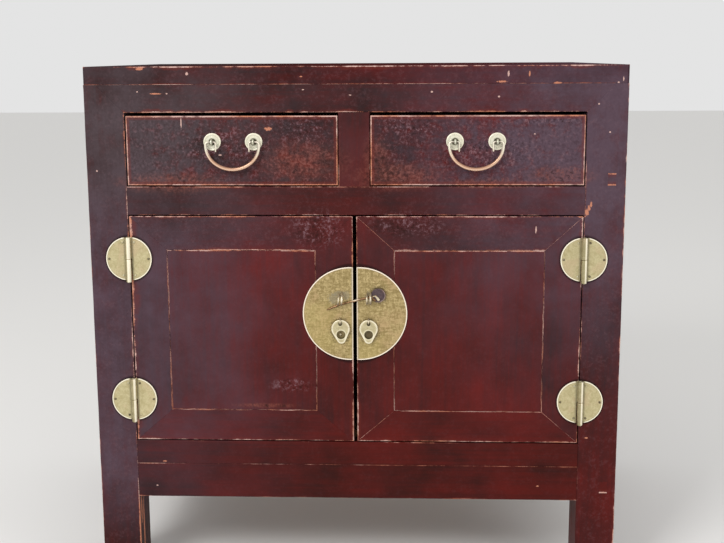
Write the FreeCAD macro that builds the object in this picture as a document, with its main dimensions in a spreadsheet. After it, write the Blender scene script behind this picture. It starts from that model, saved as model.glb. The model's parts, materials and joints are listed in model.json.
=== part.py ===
"""Low lacquered cabinet with two drawers over two doors, round brass hinges and a round brass lock plate.

Everything is in millimetres. +Z is up, the doors and drawers face -Y, and the origin is on the floor
under the middle of the whole cabinet. Depths are counted back from the case's front plane.
"""

import FreeCAD, Part
import math
import os
import Sketcher

from FreeCAD import Rotation, Vector

os.makedirs("parts", exist_ok=True)
doc = FreeCAD.newDocument("kang_cabinet")

SIZES = {
    # the whole case
    "width": 850.0,
    "depth": 520.0,
    "height": 850.0,
    # the front, from the top down
    "top_thick": 28.5,
    "upper_rail_high": 43.5,
    "drawer_bay_high": 117.0,
    "middle_rail_high": 45.5,
    "door_bay_high": 377.0,
    "lower_rail_high": 39.5,
    "apron_high": 58.4,
    # posts and rails
    "post_wide": 63.0,
    "post_deep": 62.0,
    "rail_deep": 38.0,
    "back_rail_deep": 30.0,
    "apron_thick": 22.0,
    "apron_set": 0.5,
    "divider_wide": 49.0,
    "side_rail_thick": 44.0,
    "side_rail_high": 40.0,
    "side_middle_rise": 31.5,
    "side_bottom_below": 15.0,
    # joints in the wood
    "tenon_thick": 12.0,
    "tenon_long": 24.0,
    "tenon_shoulder": 6.0,
    "side_tenon_wide": 13.0,
    "side_tenon_high": 19.6,
    "side_tenon_long": 20.0,
    "post_tenon": 22.0,
    "post_tenon_high": 16.0,
    "fit": 0.2,
    "groove_deep": 8.0,
    "panel_play": 0.4,
    # panels and boards
    "top_frame_wide": 60.0,
    "top_panel_thick": 14.0,
    "top_tongue_thick": 6.0,
    "hairline": 0.5,
    "batten_wide": 34.0,
    "batten_place_share": 0.28,
    "side_panel_thick": 12.0,
    "side_panel_set": 6.0,
    "back_panel_thick": 10.0,
    "back_panel_set": 8.0,
    "floor_thick": 12.0,
    "dust_board_thick": 10.0,
    "dust_board_drop": 27.0,
    "board_play": 0.5,
    # runners that carry the drawers
    "runner_ledge": 16.0,
    "guide_high": 30.0,
    # drawers
    "drawer_side_gap": 1.8,
    "drawer_inner_gap": 1.3,
    "drawer_top_gap": 5.1,
    "drawer_bottom_gap": 2.1,
    "drawer_set": 1.0,
    "drawer_front_thick": 22.0,
    "drawer_lap": 12.0,
    "drawer_side_thick": 12.0,
    "drawer_long": 400.0,
    "drawer_side_drop": 14.0,
    "drawer_bottom_thick": 8.0,
    "drawer_groove_up": 8.0,
    "drawer_groove_deep": 5.0,
    "running_gap": 0.3,
    # doors
    "door_thick": 24.0,
    "door_hinge_gap": 1.5,
    "door_middle_gap": 5.5,
    "door_top_gap": 1.8,
    "door_bottom_gap": 1.7,
    "outer_stile_wide": 59.1,
    "inner_stile_wide": 60.15,
    "top_rail_wide": 54.8,
    "bottom_rail_wide": 52.0,
    "door_groove_thick": 7.0,
    "door_groove_set": 9.0,
    "door_tenon_thick": 5.0,
    "door_tenon_set": 17.0,
    "door_tenon_edge": 10.0,
    # round hinges
    "hinge_radius": 35.3,
    "hinge_offset": 1.0,
    "hinge_thick": 2.0,
    "hinge_outside": 0.8,
    "hinge_stand": 5.0,
    "knuckle_radius": 4.4,
    "knuckle_below": 3.0,
    "knuckle_gap": 0.3,
    "knuckle_clear": 0.6,
    "hinge_pin_radius": 1.5,
    "pin_clearance": 0.05,
    "pin_head_radius": 3.2,
    "pin_head_high": 2.0,
    "upper_hinge_below": 70.9,
    "lower_hinge_above": 71.6,
    # nails through the hinge leaves
    "nail_radius": 0.9,
    "nail_head_radius": 1.8,
    "nail_head_high": 0.7,
    "nail_long": 16.0,
    "nail_edge": 5.0,
    "nail_near_barrel": 9.5,
    "nail_rise": 27.0,
    # lock plate, its two halves
    "lock_radius": 76.5,
    "lock_offset": 7.5,
    "lock_edge": 3.0,
    "lock_thick": 1.6,
    "lock_below": 160.4,
    # staples that hold the latch pin and the pulls
    "latch_loop": 7.2,
    "latch_wire": 1.3,
    "latch_stand": 2.2,
    "left_latch_out": 25.2,
    "right_latch_out": 22.0,
    "left_latch_rise": 21.4,
    "right_latch_rise": 26.4,
    "pull_loop": 4.5,
    "pull_wire": 1.0,
    "pull_stand": 3.4,
    "clinch_long": 8.0,
    "clinch_thick": 3.0,
    "clinch_gap": 0.1,
    # latch pin
    "latch_pin_radius": 1.6,
    "latch_rest_gap": 0.4,
    "latch_right_up": 2.0,
    "latch_tip_long": 18.0,
    "latch_head_radius": 11.6,
    "latch_head_thick": 3.0,
    "latch_head_gap": 2.6,
    "latch_curl_radius": 1.5,
    "latch_curl_run": 4.0,
    "latch_curl_rise": 8.0,
    # pear-shaped pulls
    "pull_thick": 2.0,
    "pull_head_radius": 14.9,
    "pull_foot_radius": 7.0,
    "pull_high": 39.5,
    "pull_eye_down": 7.5,
    "pull_eye_radius": 1.9,
    "pull_hole_down": 24.7,
    "pull_hole_radius": 6.7,
    "left_pull_out": 23.7,
    "right_pull_out": 21.9,
    "pull_top_below": 8.9,
    # drawer handles
    "handle_below": 45.8,
    "handle_spread": 32.8,
    "handle_from_middle": 190.7,
    "rosette_radius": 13.8,
    "rosette_thick": 1.6,
    "eye_stand": 8.0,
    "eye_radius": 4.6,
    "eye_wide": 4.9,
    "shank_radius": 2.2,
    "shank_clearance": 0.05,
    "post_clinch_radius": 1.6,
    "post_clinch_long": 16.0,
    "bail_end_radius": 1.7,
    "bail_clearance": 0.08,
    "bail_middle_radius": 3.2,
    "bail_half_wide": 42.0,
    "bail_drop": 44.0,
    "bail_bottom_bend": 46.0,
    "bail_side_bend": 36.0,
    "bail_shoulder_bend": 4.0,
    "bail_tail_bend": 2.6,
    "bail_tail_in": 5.6,
    "bail_tail_long": 10.0,
    # one overrun for every cut that passes right through
    "overrun": 2.0,
}


def formula_of(term):
    """The text of a size or of a plain number in a formula."""
    return term.formula if isinstance(term, Length) else repr(term)


def value_of(term):
    """The value of a size or of a plain number."""
    return term.value if isinstance(term, Length) else term


class Length:
    """A size from the sheet, or one worked out from such sizes, as a formula and as a value."""

    def __init__(self, formula, value):
        self.formula = formula
        self.value = value

    def joined(self, sign, other, value):
        """This size and another one in one formula."""
        return Length(f"({self.formula} {sign} {formula_of(other)})", value)

    def __add__(self, other):
        return self.joined("+", other, self.value + value_of(other))

    def __sub__(self, other):
        return self.joined("-", other, self.value - value_of(other))

    def __mul__(self, other):
        return self.joined("*", other, self.value * value_of(other))

    def __truediv__(self, other):
        return self.joined("/", other, self.value / value_of(other))

    def __neg__(self):
        return Length(f"(-{self.formula})", -self.value)


def hypotenuse(run, rise):
    """The slanted length over a run and a rise."""
    text = f"sqrt({run.formula} ^ 2 + {rise.formula} ^ 2)"
    return Length(text, math.hypot(run.value, rise.value))


sheet = doc.addObject("Spreadsheet::Sheet", "sizes")
size = {}
for row, (word, number) in enumerate(SIZES.items(), start=1):
    sheet.set(f"A{row}", word)
    sheet.set(f"B{row}", str(number))
    sheet.setAlias(f"B{row}", word)
    size[word] = Length(f"sizes.{word}", number)
doc.recompute()

ZERO = Length("0", 0.0)
ALONG = {
    "x": Rotation(Vector(0, 1, 0), 90),
    "y": Rotation(Vector(1, 0, 0), -90),
    "z": Rotation(),
}
NODES = {}


def new(kind, name):
    """A new object of the document."""
    return doc.addObject(kind, name)


def move_to(thing, x, y, z):
    """Ties an object's place to three sizes."""
    for axis, length in zip("xyz", (x, y, z)):
        thing.setExpression(f"Placement.Base.{axis}", length.formula)
    return thing


def block(name, x, y, z):
    """A square-cut piece between two planes in each direction."""
    piece = new("Part::Box", name)
    for side, (low, high) in zip(("Length", "Width", "Height"), (x, y, z)):
        piece.setExpression(side, (high - low).formula)
    return move_to(piece, x[0], y[0], z[0])


def rod(name, radius, long, start, along):
    """A round rod from a point in the direction of one axis."""
    piece = new("Part::Cylinder", name)
    piece.setExpression("Radius", radius.formula)
    piece.setExpression("Height", long.formula)
    piece.Placement = FreeCAD.Placement(Vector(), ALONG[along])
    return move_to(piece, *start)


def slanting_rod(name, radius, start, run, rise):
    """A round rod from a point, run along x and rise upwards."""
    piece = new("Part::Cylinder", name)
    piece.setExpression("Radius", radius.formula)
    piece.setExpression("Height", hypotenuse(run, rise).formula)
    piece.Placement = FreeCAD.Placement(Vector(), ALONG["x"])
    piece.setExpression("Placement.Rotation.Angle", f"atan({run.formula} / {rise.formula})")
    return move_to(piece, *start)


def wedge(name, long_low, long_high, across, thick, turn, base):
    """A four-sided board whose length changes from long_low to long_high over its width.

    Each length is a pair of ends. across is the width, thick the thickness, turn the rotation
    that takes the board's own x, y and z to the cabinet's, and base where its corner goes.
    """
    piece = new("Part::Wedge", name)
    ends = {"Xmin": long_low[0], "Xmax": long_low[1], "X2min": long_high[0], "X2max": long_high[1]}
    rest = {"Ymin": ZERO, "Ymax": across, "Zmin": ZERO, "Zmax": thick, "Z2min": ZERO, "Z2max": thick}
    for side, length in {**ends, **rest}.items():
        piece.setExpression(side, length.formula)
    piece.Placement = FreeCAD.Placement(Vector(), turn)
    return move_to(piece, *base)


def fused(name, pieces):
    """Several solids joined into one."""
    whole = new("Part::MultiFuse", name)
    whole.Shapes = pieces
    return whole


def cut(name, piece, tools):
    """A solid with the tools taken out of it."""
    result = new("Part::Cut", name)
    result.Base = piece
    result.Tool = tools[0] if len(tools) == 1 else fused(name + "_tools", tools)
    return result


def shared(name, first, second):
    """What two solids have in common."""
    result = new("Part::Common", name)
    result.Base = first
    result.Tool = second
    return result


def node(label, solids):
    """Registers a sub-part: one solid, or several like ones that share a name."""
    if len(solids) == 1:
        whole = solids[0]
    else:
        whole = new("Part::Compound", label)
        whole.Links = solids
    whole.Label = label
    NODES[label] = whole
    return whole


def grown(span, by):
    """A pair of planes moved apart by a clearance."""
    return (span[0] - by, span[1] + by)


def mirrored(side, near, far):
    """The pair of planes from near to far on the left (-1) or right (+1) of the middle."""
    return (near, far) if side > 0 else (-far, -near)


# Planes that the whole cabinet shares
REACH = size["lock_thick"] + size["latch_stand"] + size["latch_loop"] + size["latch_wire"]
FRONT = (REACH - size["depth"]) / 2
BACK = FRONT + size["depth"]
HALF = size["width"] / 2
POST_IN = HALF - size["post_wide"]
POST_BACK = FRONT + size["post_deep"]
RAIL_BACK = FRONT + size["rail_deep"]
REAR_POST = BACK - size["post_deep"]
REAR_RAIL = BACK - size["back_rail_deep"]
TOP = size["height"]
TOP_UNDER = TOP - size["top_thick"]
DRAWER_BAY_TOP = TOP_UNDER - size["upper_rail_high"]
DRAWER_BAY_LOW = DRAWER_BAY_TOP - size["drawer_bay_high"]
DOOR_BAY_TOP = DRAWER_BAY_LOW - size["middle_rail_high"]
DOOR_BAY_LOW = DOOR_BAY_TOP - size["door_bay_high"]
LOWER_RAIL_LOW = DOOR_BAY_LOW - size["lower_rail_high"]
APRON_LOW = LOWER_RAIL_LOW - size["apron_high"]
LOCK_Z = DOOR_BAY_TOP - size["lock_below"]
SIDES = {"left": -1, "right": 1}
ENDS = ("front", "back")

mortises = {f"{end}_{side}": [] for end in ENDS for side in SIDES}
post_holes = {side: [] for side in SIDES}


def cross_rail(name, end, y, z):
    """A rail between the left and right posts, with a hidden tenon at each end."""
    body = block(name + "_body", (-POST_IN, POST_IN), y, z)
    middle = (y[0] + y[1]) / 2
    tenon_y = (middle - size["tenon_thick"] / 2, middle + size["tenon_thick"] / 2)
    tenon_z = (z[0] + size["tenon_shoulder"], z[1] - size["tenon_shoulder"])
    pieces = [body]
    for side, sign in SIDES.items():
        tenon_x = mirrored(sign, POST_IN, POST_IN + size["tenon_long"])
        pieces.append(block(f"{name}_tenon_{side}", tenon_x, tenon_y, tenon_z))
        hole = [grown(span, size["fit"]) for span in (tenon_x, tenon_y, tenon_z)]
        mortises[f"{end}_{side}"].append(block(f"{name}_mortise_{side}", *hole))
    return fused(name + "_whole", pieces)


def side_rail(name, side, z, through):
    """A rail between a front and a back post; on the right its front tenon can pass right through."""
    outer = HALF - size["side_rail_thick"]
    x = mirrored(SIDES[side], outer, HALF)
    middle_x = (x[0] + x[1]) / 2
    middle_z = (z[0] + z[1]) / 2
    tenon_x = (middle_x - size["side_tenon_wide"] / 2, middle_x + size["side_tenon_wide"] / 2)
    tenon_z = (middle_z - size["side_tenon_high"] / 2, middle_z + size["side_tenon_high"] / 2)
    front_long = size["post_deep"] if through else size["side_tenon_long"]
    front_y = (POST_BACK - front_long, POST_BACK)
    back_y = (REAR_POST, REAR_POST + size["side_tenon_long"])
    pieces = [block(name + "_body", x, (POST_BACK, REAR_POST), z)]
    for end, tenon_y in zip(ENDS, (front_y, back_y)):
        pieces.append(block(f"{name}_tenon_{end}", tenon_x, tenon_y, tenon_z))
        hole = [grown(span, size["fit"]) for span in (tenon_x, tenon_y, tenon_z)]
        mortises[f"{end}_{side}"].append(block(f"{name}_mortise_{end}", *hole))
    return fused(name + "_whole", pieces)


def upper_front_rail():
    """The rail over the drawers, mitred into the posts at both ends over its whole height."""
    run = size["upper_rail_high"]
    long = POST_IN * 2
    z = (DRAWER_BAY_TOP, TOP_UNDER)
    lay = Rotation(Vector(1, 0, 0), 90)

    def board(name):
        return wedge(name, (ZERO, long), (-run, long + run), run, size["rail_deep"], lay,
                     (-POST_IN, RAIL_BACK, DRAWER_BAY_TOP))

    middle = (FRONT + RAIL_BACK) / 2
    tenon_y = (middle - size["tenon_thick"] / 2, middle + size["tenon_thick"] / 2)
    tenon_z = (z[0] + size["tenon_shoulder"], z[1] - size["tenon_shoulder"])
    pieces = [board("upper_rail_board")]
    mitre = board("upper_rail_mitre")
    for side, sign in SIDES.items():
        tenon_x = mirrored(sign, POST_IN, POST_IN + size["tenon_long"])
        pieces.append(block(f"upper_rail_tenon_{side}", tenon_x, tenon_y, tenon_z))
        hole = [grown(span, size["fit"]) for span in (tenon_x, tenon_y, tenon_z)]
        mortises[f"front_{side}"].append(block(f"upper_rail_mortise_{side}", *hole))
        mortises[f"front_{side}"].append(mitre)
    divider_hole = block("upper_divider_mortise", *divider_tenon(1, size["fit"]))
    return cut("upper_rail_whole", fused("upper_rail_joined", pieces), [divider_hole])


def divider_tenon(way, fit):
    """The planes of the divider's upper (1) or lower (-1) tenon, grown by a fit."""
    middle = (FRONT + RAIL_BACK) / 2
    half = size["divider_wide"] / 2 - size["tenon_shoulder"]
    x = (-half, half)
    y = (middle - size["tenon_thick"] / 2, middle + size["tenon_thick"] / 2)
    if way > 0:
        z = (DRAWER_BAY_TOP, DRAWER_BAY_TOP + size["tenon_long"] / 2)
    else:
        z = (DRAWER_BAY_LOW - size["tenon_long"] / 2, DRAWER_BAY_LOW)
    return [(low - fit, high + fit) for low, high in (x, y, z)]


def dust_board_planes():
    """The planes of the board between the drawers and the cupboard."""
    high = DRAWER_BAY_LOW - size["dust_board_drop"]
    low = high - size["dust_board_thick"]
    front = RAIL_BACK - size["groove_deep"] + size["panel_play"]
    back = REAR_RAIL + size["groove_deep"] - size["panel_play"]
    return front, back, low, high


def build_rails():
    """All rails, the divider and the apron."""
    node("upper_front_rail", [upper_front_rail()])
    front_y = (FRONT, RAIL_BACK)
    board_front, board_back, low, high = dust_board_planes()
    slot_z = grown((low, high), size["fit"])
    middle = cross_rail("middle_rail", "front", front_y, (DOOR_BAY_TOP, DRAWER_BAY_LOW))
    tools = [
        block("middle_rail_slot", (-POST_IN, POST_IN), (board_front - size["panel_play"],
              RAIL_BACK + size["overrun"]), slot_z),
        block("lower_divider_mortise", *divider_tenon(-1, size["fit"])),
    ]
    node("middle_front_rail", [cut("middle_rail_cut", middle, tools)])
    node("lower_front_rail", [cross_rail("lower_rail", "front", front_y, (LOWER_RAIL_LOW, DOOR_BAY_LOW))])
    half = size["divider_wide"] / 2
    parts = [block("divider_body", (-half, half), front_y, (DRAWER_BAY_LOW, DRAWER_BAY_TOP))]
    for way, word in ((1, "upper"), (-1, "lower")):
        parts.append(block(f"divider_tenon_{word}", *divider_tenon(way, ZERO)))
    node("drawer_divider", [fused("divider_whole", parts)])
    apron_y = (FRONT + size["apron_set"], FRONT + size["apron_set"] + size["apron_thick"])
    node("front_apron", [cross_rail("apron", "front", apron_y, (APRON_LOW, LOWER_RAIL_LOW))])

    back_y = (REAR_RAIL, BACK)
    panel_y = (BACK - size["back_panel_set"] - size["back_panel_thick"], BACK - size["back_panel_set"])
    panel_slot = grown(panel_y, size["fit"])
    levels = {
        "upper": (DRAWER_BAY_TOP, TOP_UNDER),
        "middle": (DOOR_BAY_TOP, DRAWER_BAY_LOW),
        "lower": (LOWER_RAIL_LOW, DOOR_BAY_LOW),
    }
    deep = size["groove_deep"]
    slot_x = (-POST_IN - deep, POST_IN + deep)
    rails = []
    for word, z in levels.items():
        rail = cross_rail(f"back_{word}_rail", "back", back_y, z)
        slots = []
        if word != "lower":
            slots.append(block(f"back_{word}_slot_low", slot_x, panel_slot,
                               (z[0] - size["overrun"], z[0] + deep)))
        if word != "upper":
            slots.append(block(f"back_{word}_slot_high", slot_x, panel_slot,
                               (z[1] - deep, z[1] + size["overrun"])))
        if word == "middle":
            slots.append(block("back_dust_slot", (-POST_IN, POST_IN),
                               (REAR_RAIL - size["overrun"], board_back + size["panel_play"]), slot_z))
        rails.append(cut(f"back_{word}_rail_cut", rail, slots))
    node("back_rails", rails)
    panels = []
    play = size["panel_play"]
    x = (-POST_IN - deep + play, POST_IN + deep - play)
    bays = {
        "upper": (levels["middle"][1], levels["upper"][0]),
        "lower": (levels["lower"][1], levels["middle"][0]),
    }
    for word, (low_z, high_z) in bays.items():
        panels.append(block(f"back_panel_{word}", x, panel_y, (low_z - deep + play, high_z + deep - play)))
    for side, sign in SIDES.items():
        post_slot_x = mirrored(sign, POST_IN - size["overrun"], POST_IN + deep)
        post_slot_z = (levels["lower"][0], TOP_UNDER)
        mortises[f"back_{side}"].append(block(f"back_post_slot_{side}", post_slot_x, panel_slot, post_slot_z))
    node("back_panels", panels)


def build_sides():
    """The side rails and the side panels that sit in grooves between them and the posts."""
    deep = size["groove_deep"]
    play = size["panel_play"]
    panel_out = HALF - size["side_panel_set"]
    panel_in = panel_out - size["side_panel_thick"]
    high = size["side_rail_high"]
    middle_top = DRAWER_BAY_LOW + size["side_middle_rise"]
    bottom_top = LOWER_RAIL_LOW - size["side_bottom_below"]
    levels = {
        "upper": (DRAWER_BAY_TOP, TOP_UNDER),
        "middle": (middle_top - high, middle_top),
        "bottom": (bottom_top - high, bottom_top),
    }
    for side, sign in SIDES.items():
        panel_x = mirrored(sign, panel_in, panel_out)
        slot_x = grown(panel_x, size["fit"])
        rail_y = (POST_BACK, REAR_POST)
        rails = []
        for word, z in levels.items():
            name = f"{side}_{word}_side"
            rail = side_rail(name, side, z, side == "right" and word != "upper")
            slots = []
            if word != "bottom":
                slots.append(block(f"{name}_slot_low", slot_x, rail_y, (z[0] - size["overrun"], z[0] + deep)))
            if word != "upper":
                slots.append(block(f"{name}_slot_high", slot_x, rail_y, (z[1] - deep, z[1] + size["overrun"])))
            rails.append(cut(name + "_cut", rail, slots))
        node(f"side_rails_{side}", rails)
        bays = {"upper": ("middle", "upper"), "lower": ("bottom", "middle")}
        panels = []
        for word, (below, above) in bays.items():
            z = (levels[below][1] - deep + play, levels[above][0] + deep - play)
            y = (POST_BACK - deep + play, REAR_POST + deep - play)
            panels.append(block(f"{side}_{word}_side_panel", panel_x, y, z))
        node(f"side_panels_{side}", panels)
        slot_z = (levels["bottom"][1] - deep, levels["upper"][0] + deep)
        front_slot = (POST_BACK - deep, POST_BACK + size["overrun"])
        back_slot = (REAR_POST - size["overrun"], REAR_POST + deep)
        mortises[f"front_{side}"].append(block(f"front_post_slot_{side}", slot_x, front_slot, slot_z))
        mortises[f"back_{side}"].append(block(f"side_back_post_slot_{side}", slot_x, back_slot, slot_z))


def build_posts():
    """The four corner posts, from the floor to the top frame, with a tenon up into it."""
    for end in ENDS:
        y = (FRONT, POST_BACK) if end == "front" else (REAR_POST, BACK)
        for side, sign in SIDES.items():
            name = f"post_{end}_{side}"
            x = mirrored(sign, POST_IN, HALF)
            body = block(name + "_body", x, y, (ZERO, TOP_UNDER))
            tenon = block(name + "_tenon", *post_tenon(end, side, ZERO))
            tools = mortises[f"{end}_{side}"]
            if end == "front":
                tools = tools + post_holes[side]
            shaped = cut(name + "_cut", body, tools)
            node(name, [fused(name + "_whole", [shaped, tenon])])


def post_tenon(end, side, fit):
    """The planes of the square tenon on a post's top, grown by a fit."""
    x = mirrored(SIDES[side], POST_IN, HALF)
    y = (FRONT, POST_BACK) if end == "front" else (REAR_POST, BACK)
    half = size["post_tenon"] / 2
    middle_x = (x[0] + x[1]) / 2
    middle_y = (y[0] + y[1]) / 2
    spans = [
        (middle_x - half, middle_x + half),
        (middle_y - half, middle_y + half),
        (TOP_UNDER, TOP_UNDER + size["post_tenon_high"]),
    ]
    return [(low - fit, high + fit) for low, high in spans]


def build_top():
    """The mitred top frame, its floating panel and the battens under the panel."""
    wide = size["top_frame_wide"]
    width = size["width"]
    depth = size["depth"]
    thick = size["top_thick"]
    hair = size["hairline"]
    play = size["panel_play"]
    deep = size["groove_deep"]
    members = {
        "front": ((ZERO, width), (wide, width - wide), Rotation(), (-HALF, FRONT, TOP_UNDER)),
        "back": ((ZERO, width), (wide, width - wide), Rotation(Vector(0, 0, 1), 180), (HALF, BACK, TOP_UNDER)),
        "right": ((ZERO, depth), (wide, depth - wide), Rotation(Vector(0, 0, 1), 90), (HALF, FRONT, TOP_UNDER)),
        "left": ((ZERO, depth), (wide, depth - wide), Rotation(Vector(0, 0, 1), -90), (-HALF, BACK, TOP_UNDER)),
    }
    tongue_high = TOP - size["top_panel_thick"] + size["top_tongue_thick"]
    tongue_low = TOP - size["top_panel_thick"]
    pieces = {}
    for word, (outer, inner, turn, base) in members.items():
        board = wedge(f"top_{word}_board", outer, inner, wide, thick, turn, base)
        groove = block(f"top_{word}_groove", (-HALF + wide - deep, HALF - wide + deep),
                       (FRONT + wide - deep, BACK - wide + deep),
                       (tongue_low, tongue_high + size["fit"]))
        tools = [groove]
        for end in ENDS:
            for side in SIDES:
                tools.append(block(f"top_{word}_mortise_{end}_{side}", *post_tenon(end, side, size["fit"])))
        pieces[word] = cut(f"top_{word}_cut", board, tools)
    node("top_frame_front", [pieces["front"]])
    node("top_frame_back", [pieces["back"]])
    node("top_frame_ends", [pieces["left"], pieces["right"]])
    face_x = (-HALF + wide + hair, HALF - wide - hair)
    face_y = (FRONT + wide + hair, BACK - wide - hair)
    tongue_x = (-HALF + wide - deep + play, HALF - wide + deep - play)
    tongue_y = (FRONT + wide - deep + play, BACK - wide + deep - play)
    face = block("top_panel_face", face_x, face_y, (tongue_low, TOP))
    tongue = block("top_panel_tongue", tongue_x, tongue_y, (tongue_low, tongue_high))
    node("top_panel", [fused("top_panel_whole", [face, tongue])])
    battens = []
    for side, sign in SIDES.items():
        middle = width * size["batten_place_share"] * sign
        half = size["batten_wide"] / 2
        battens.append(block(f"{side}_top_batten", (middle - half, middle + half),
                             (FRONT + wide, BACK - wide), (TOP_UNDER, tongue_low)))
    node("top_battens", battens)


def notched(name, x, y, z):
    """A board as wide as the space between the side panels, notched round the four posts."""
    play = size["board_play"]
    board = block(name + "_board", x, y, z)
    tools = []
    for side, sign in SIDES.items():
        notch_x = mirrored(sign, POST_IN - play, HALF)
        front = (FRONT, POST_BACK + play)
        back = (REAR_POST - play, BACK)
        for end, notch_y in zip(ENDS, (front, back)):
            tools.append(block(f"{name}_notch_{end}_{side}", notch_x, notch_y, grown(z, size["overrun"])))
    return cut(name + "_notched", board, tools)


def build_inside():
    """The cupboard's floor, the dust board and the drawer runners."""
    play = size["board_play"]
    side_in = HALF - size["side_panel_set"] - size["side_panel_thick"] - play
    back_in = BACK - size["back_panel_set"] - size["back_panel_thick"] - play
    floor_y = (FRONT + size["door_thick"] + play, back_in)
    floor_z = (DOOR_BAY_LOW, DOOR_BAY_LOW + size["floor_thick"])
    node("cabinet_floor", [notched("floor", (-side_in, side_in), floor_y, floor_z)])
    board_front, board_back, low, high = dust_board_planes()
    rail_in = HALF - size["side_rail_thick"] - play
    node("dust_board", [notched("dust", (-rail_in, rail_in), (board_front, board_back), (low, high))])

    ledge_z = (high, DRAWER_BAY_LOW)
    guide_top = DRAWER_BAY_LOW + size["guide_high"]
    long_y = (RAIL_BACK, REAR_RAIL)
    short_y = (POST_BACK, REAR_POST)
    runners = []
    for side, sign in SIDES.items():
        ledge_x = mirrored(sign, POST_IN - size["runner_ledge"], POST_IN)
        guide_x = mirrored(sign, POST_IN, HALF - size["side_rail_thick"])
        ledge = block(f"{side}_runner_ledge", ledge_x, long_y, ledge_z)
        guide = block(f"{side}_runner_guide", guide_x, short_y, (high, guide_top))
        runners.append(fused(f"{side}_runner", [ledge, guide]))
    half = size["divider_wide"] / 2
    ledge = block("middle_runner_ledge", (-half - size["runner_ledge"], half + size["runner_ledge"]),
                  long_y, ledge_z)
    guide = block("middle_runner_guide", (-half, half), long_y, (high, guide_top))
    runners.append(fused("middle_runner", [ledge, guide]))
    node("drawer_runners", runners)


def nail(name, x, face, z):
    """A small nail with its head on a plate's face, and the hole that it needs behind the head."""
    head = rod(name + "_head", size["nail_head_radius"], size["nail_head_high"],
               (x, face - size["nail_head_high"], z), "y")
    shank = rod(name + "_shank", size["nail_radius"], size["nail_long"], (x, face, z), "y")
    hole = rod(name + "_hole", size["nail_radius"] + size["pin_clearance"],
               size["nail_long"] + size["fit"], (x, face - size["fit"], z), "y")
    return fused(name, [head, shank]), hole


def staple(name, x, z, face, loop, wire, stand, back):
    """A wire loop seen edge-on from the front, with two legs through plate and stile, bent over inside.

    face is the front of what it goes through, back the inner face that its ends are bent over on.
    Returns the staple and its two holes.
    """
    bow = new("Part::Torus", name + "_bow")
    bow.setExpression("Radius1", loop.formula)
    bow.setExpression("Radius2", wire.formula)
    bow.Angle3 = 180
    bow.Placement = FreeCAD.Placement(Vector(), Rotation(Vector(1, 0, 1), 180))
    centre = face - stand
    move_to(bow, x, centre, z)
    half = size["clinch_thick"] / 2
    turn = back + size["clinch_gap"]
    pieces = [bow]
    holes = []
    for way, word in ((-1, "low"), (1, "high")):
        height = z + loop * way
        pieces.append(rod(f"{name}_leg_{word}", wire, turn + half - centre, (x, centre, height), "y"))
        ends = (height - half, height + size["clinch_long"])
        if way < 0:
            ends = (height - size["clinch_long"], height + half)
        pieces.append(block(f"{name}_clinch_{word}", (x - half, x + half), (turn, turn + half * 2), ends))
        holes.append(rod(f"{name}_hole_{word}", wire + size["pin_clearance"],
                         back - face + size["overrun"] * 2, (x, face - size["overrun"], height), "y"))
    return fused(name, pieces), holes


def half_disc(name, side, centre, edge, radius, z, y):
    """The part of a flat disc that lies outside an upright edge."""
    disc = rod(name + "_disc", radius, y[1] - y[0], (centre, y[0], z), "y")
    far = mirrored(side, ZERO, radius * 2)
    reach = (edge, edge + far[1]) if side > 0 else (edge + far[0], edge)
    keep = block(name + "_keep", reach, grown(y, size["overrun"]), grown((z - radius, z + radius), size["overrun"]))
    return shared(name + "_half", disc, keep)


def hinge(name, side, z, inner):
    """One round two-leaf hinge: the case leaf with the lower knuckle, the door leaf with the upper one.

    side is -1 or +1 for the left or right door, z the height of the hinge's middle.
    inner says whose leaf it is, the case's or the door's.
    Returns the leaf, its nails and their holes in the wood.
    """
    axis_x = (POST_IN + size["hinge_outside"]) * side
    way = -side if inner == "door" else side
    face = FRONT - size["hinge_thick"]
    barrel_y = FRONT - size["hinge_stand"]
    centre = axis_x + size["hinge_offset"] * way
    plate = half_disc(name, way, centre, centre, size["hinge_radius"], z, (face, FRONT))
    gap = size["knuckle_gap"] / 2
    low = z - size["hinge_radius"] - size["knuckle_below"]
    high = z + size["hinge_radius"]
    knuckle_z = (z + gap, high) if inner == "door" else (low, z - gap)
    other_z = (low, z + gap) if inner == "door" else (z - gap, high + size["overrun"])
    knuckle = rod(name + "_knuckle", size["knuckle_radius"], knuckle_z[1] - knuckle_z[0],
                  (axis_x, barrel_y, knuckle_z[0]), "z")
    clear = size["knuckle_radius"] + size["knuckle_clear"]
    notch_x = (axis_x - clear, axis_x + clear)
    notch = block(name + "_notch", notch_x, grown((face, FRONT), size["overrun"]), other_z)
    bore = rod(name + "_bore", size["hinge_pin_radius"] + size["pin_clearance"],
               high - low + size["overrun"] * 2, (axis_x, barrel_y, low - size["overrun"]), "z")
    leaf = fused(name + "_joined", [cut(name + "_notched", plate, [notch]), knuckle])
    far = centre + (size["hinge_radius"] - size["nail_edge"]) * way
    near = axis_x + size["nail_near_barrel"] * way
    spots = [(far, z), (near, z + size["nail_rise"]), (near, z - size["nail_rise"])]
    nails = []
    holes = []
    for number, (nail_x, nail_z) in enumerate(spots, start=1):
        solid, hole = nail(f"{name}_nail_{number}", nail_x, face, nail_z)
        nails.append(solid)
        holes.append(hole)
    return cut(name, leaf, [bore] + holes), nails, holes


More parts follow.
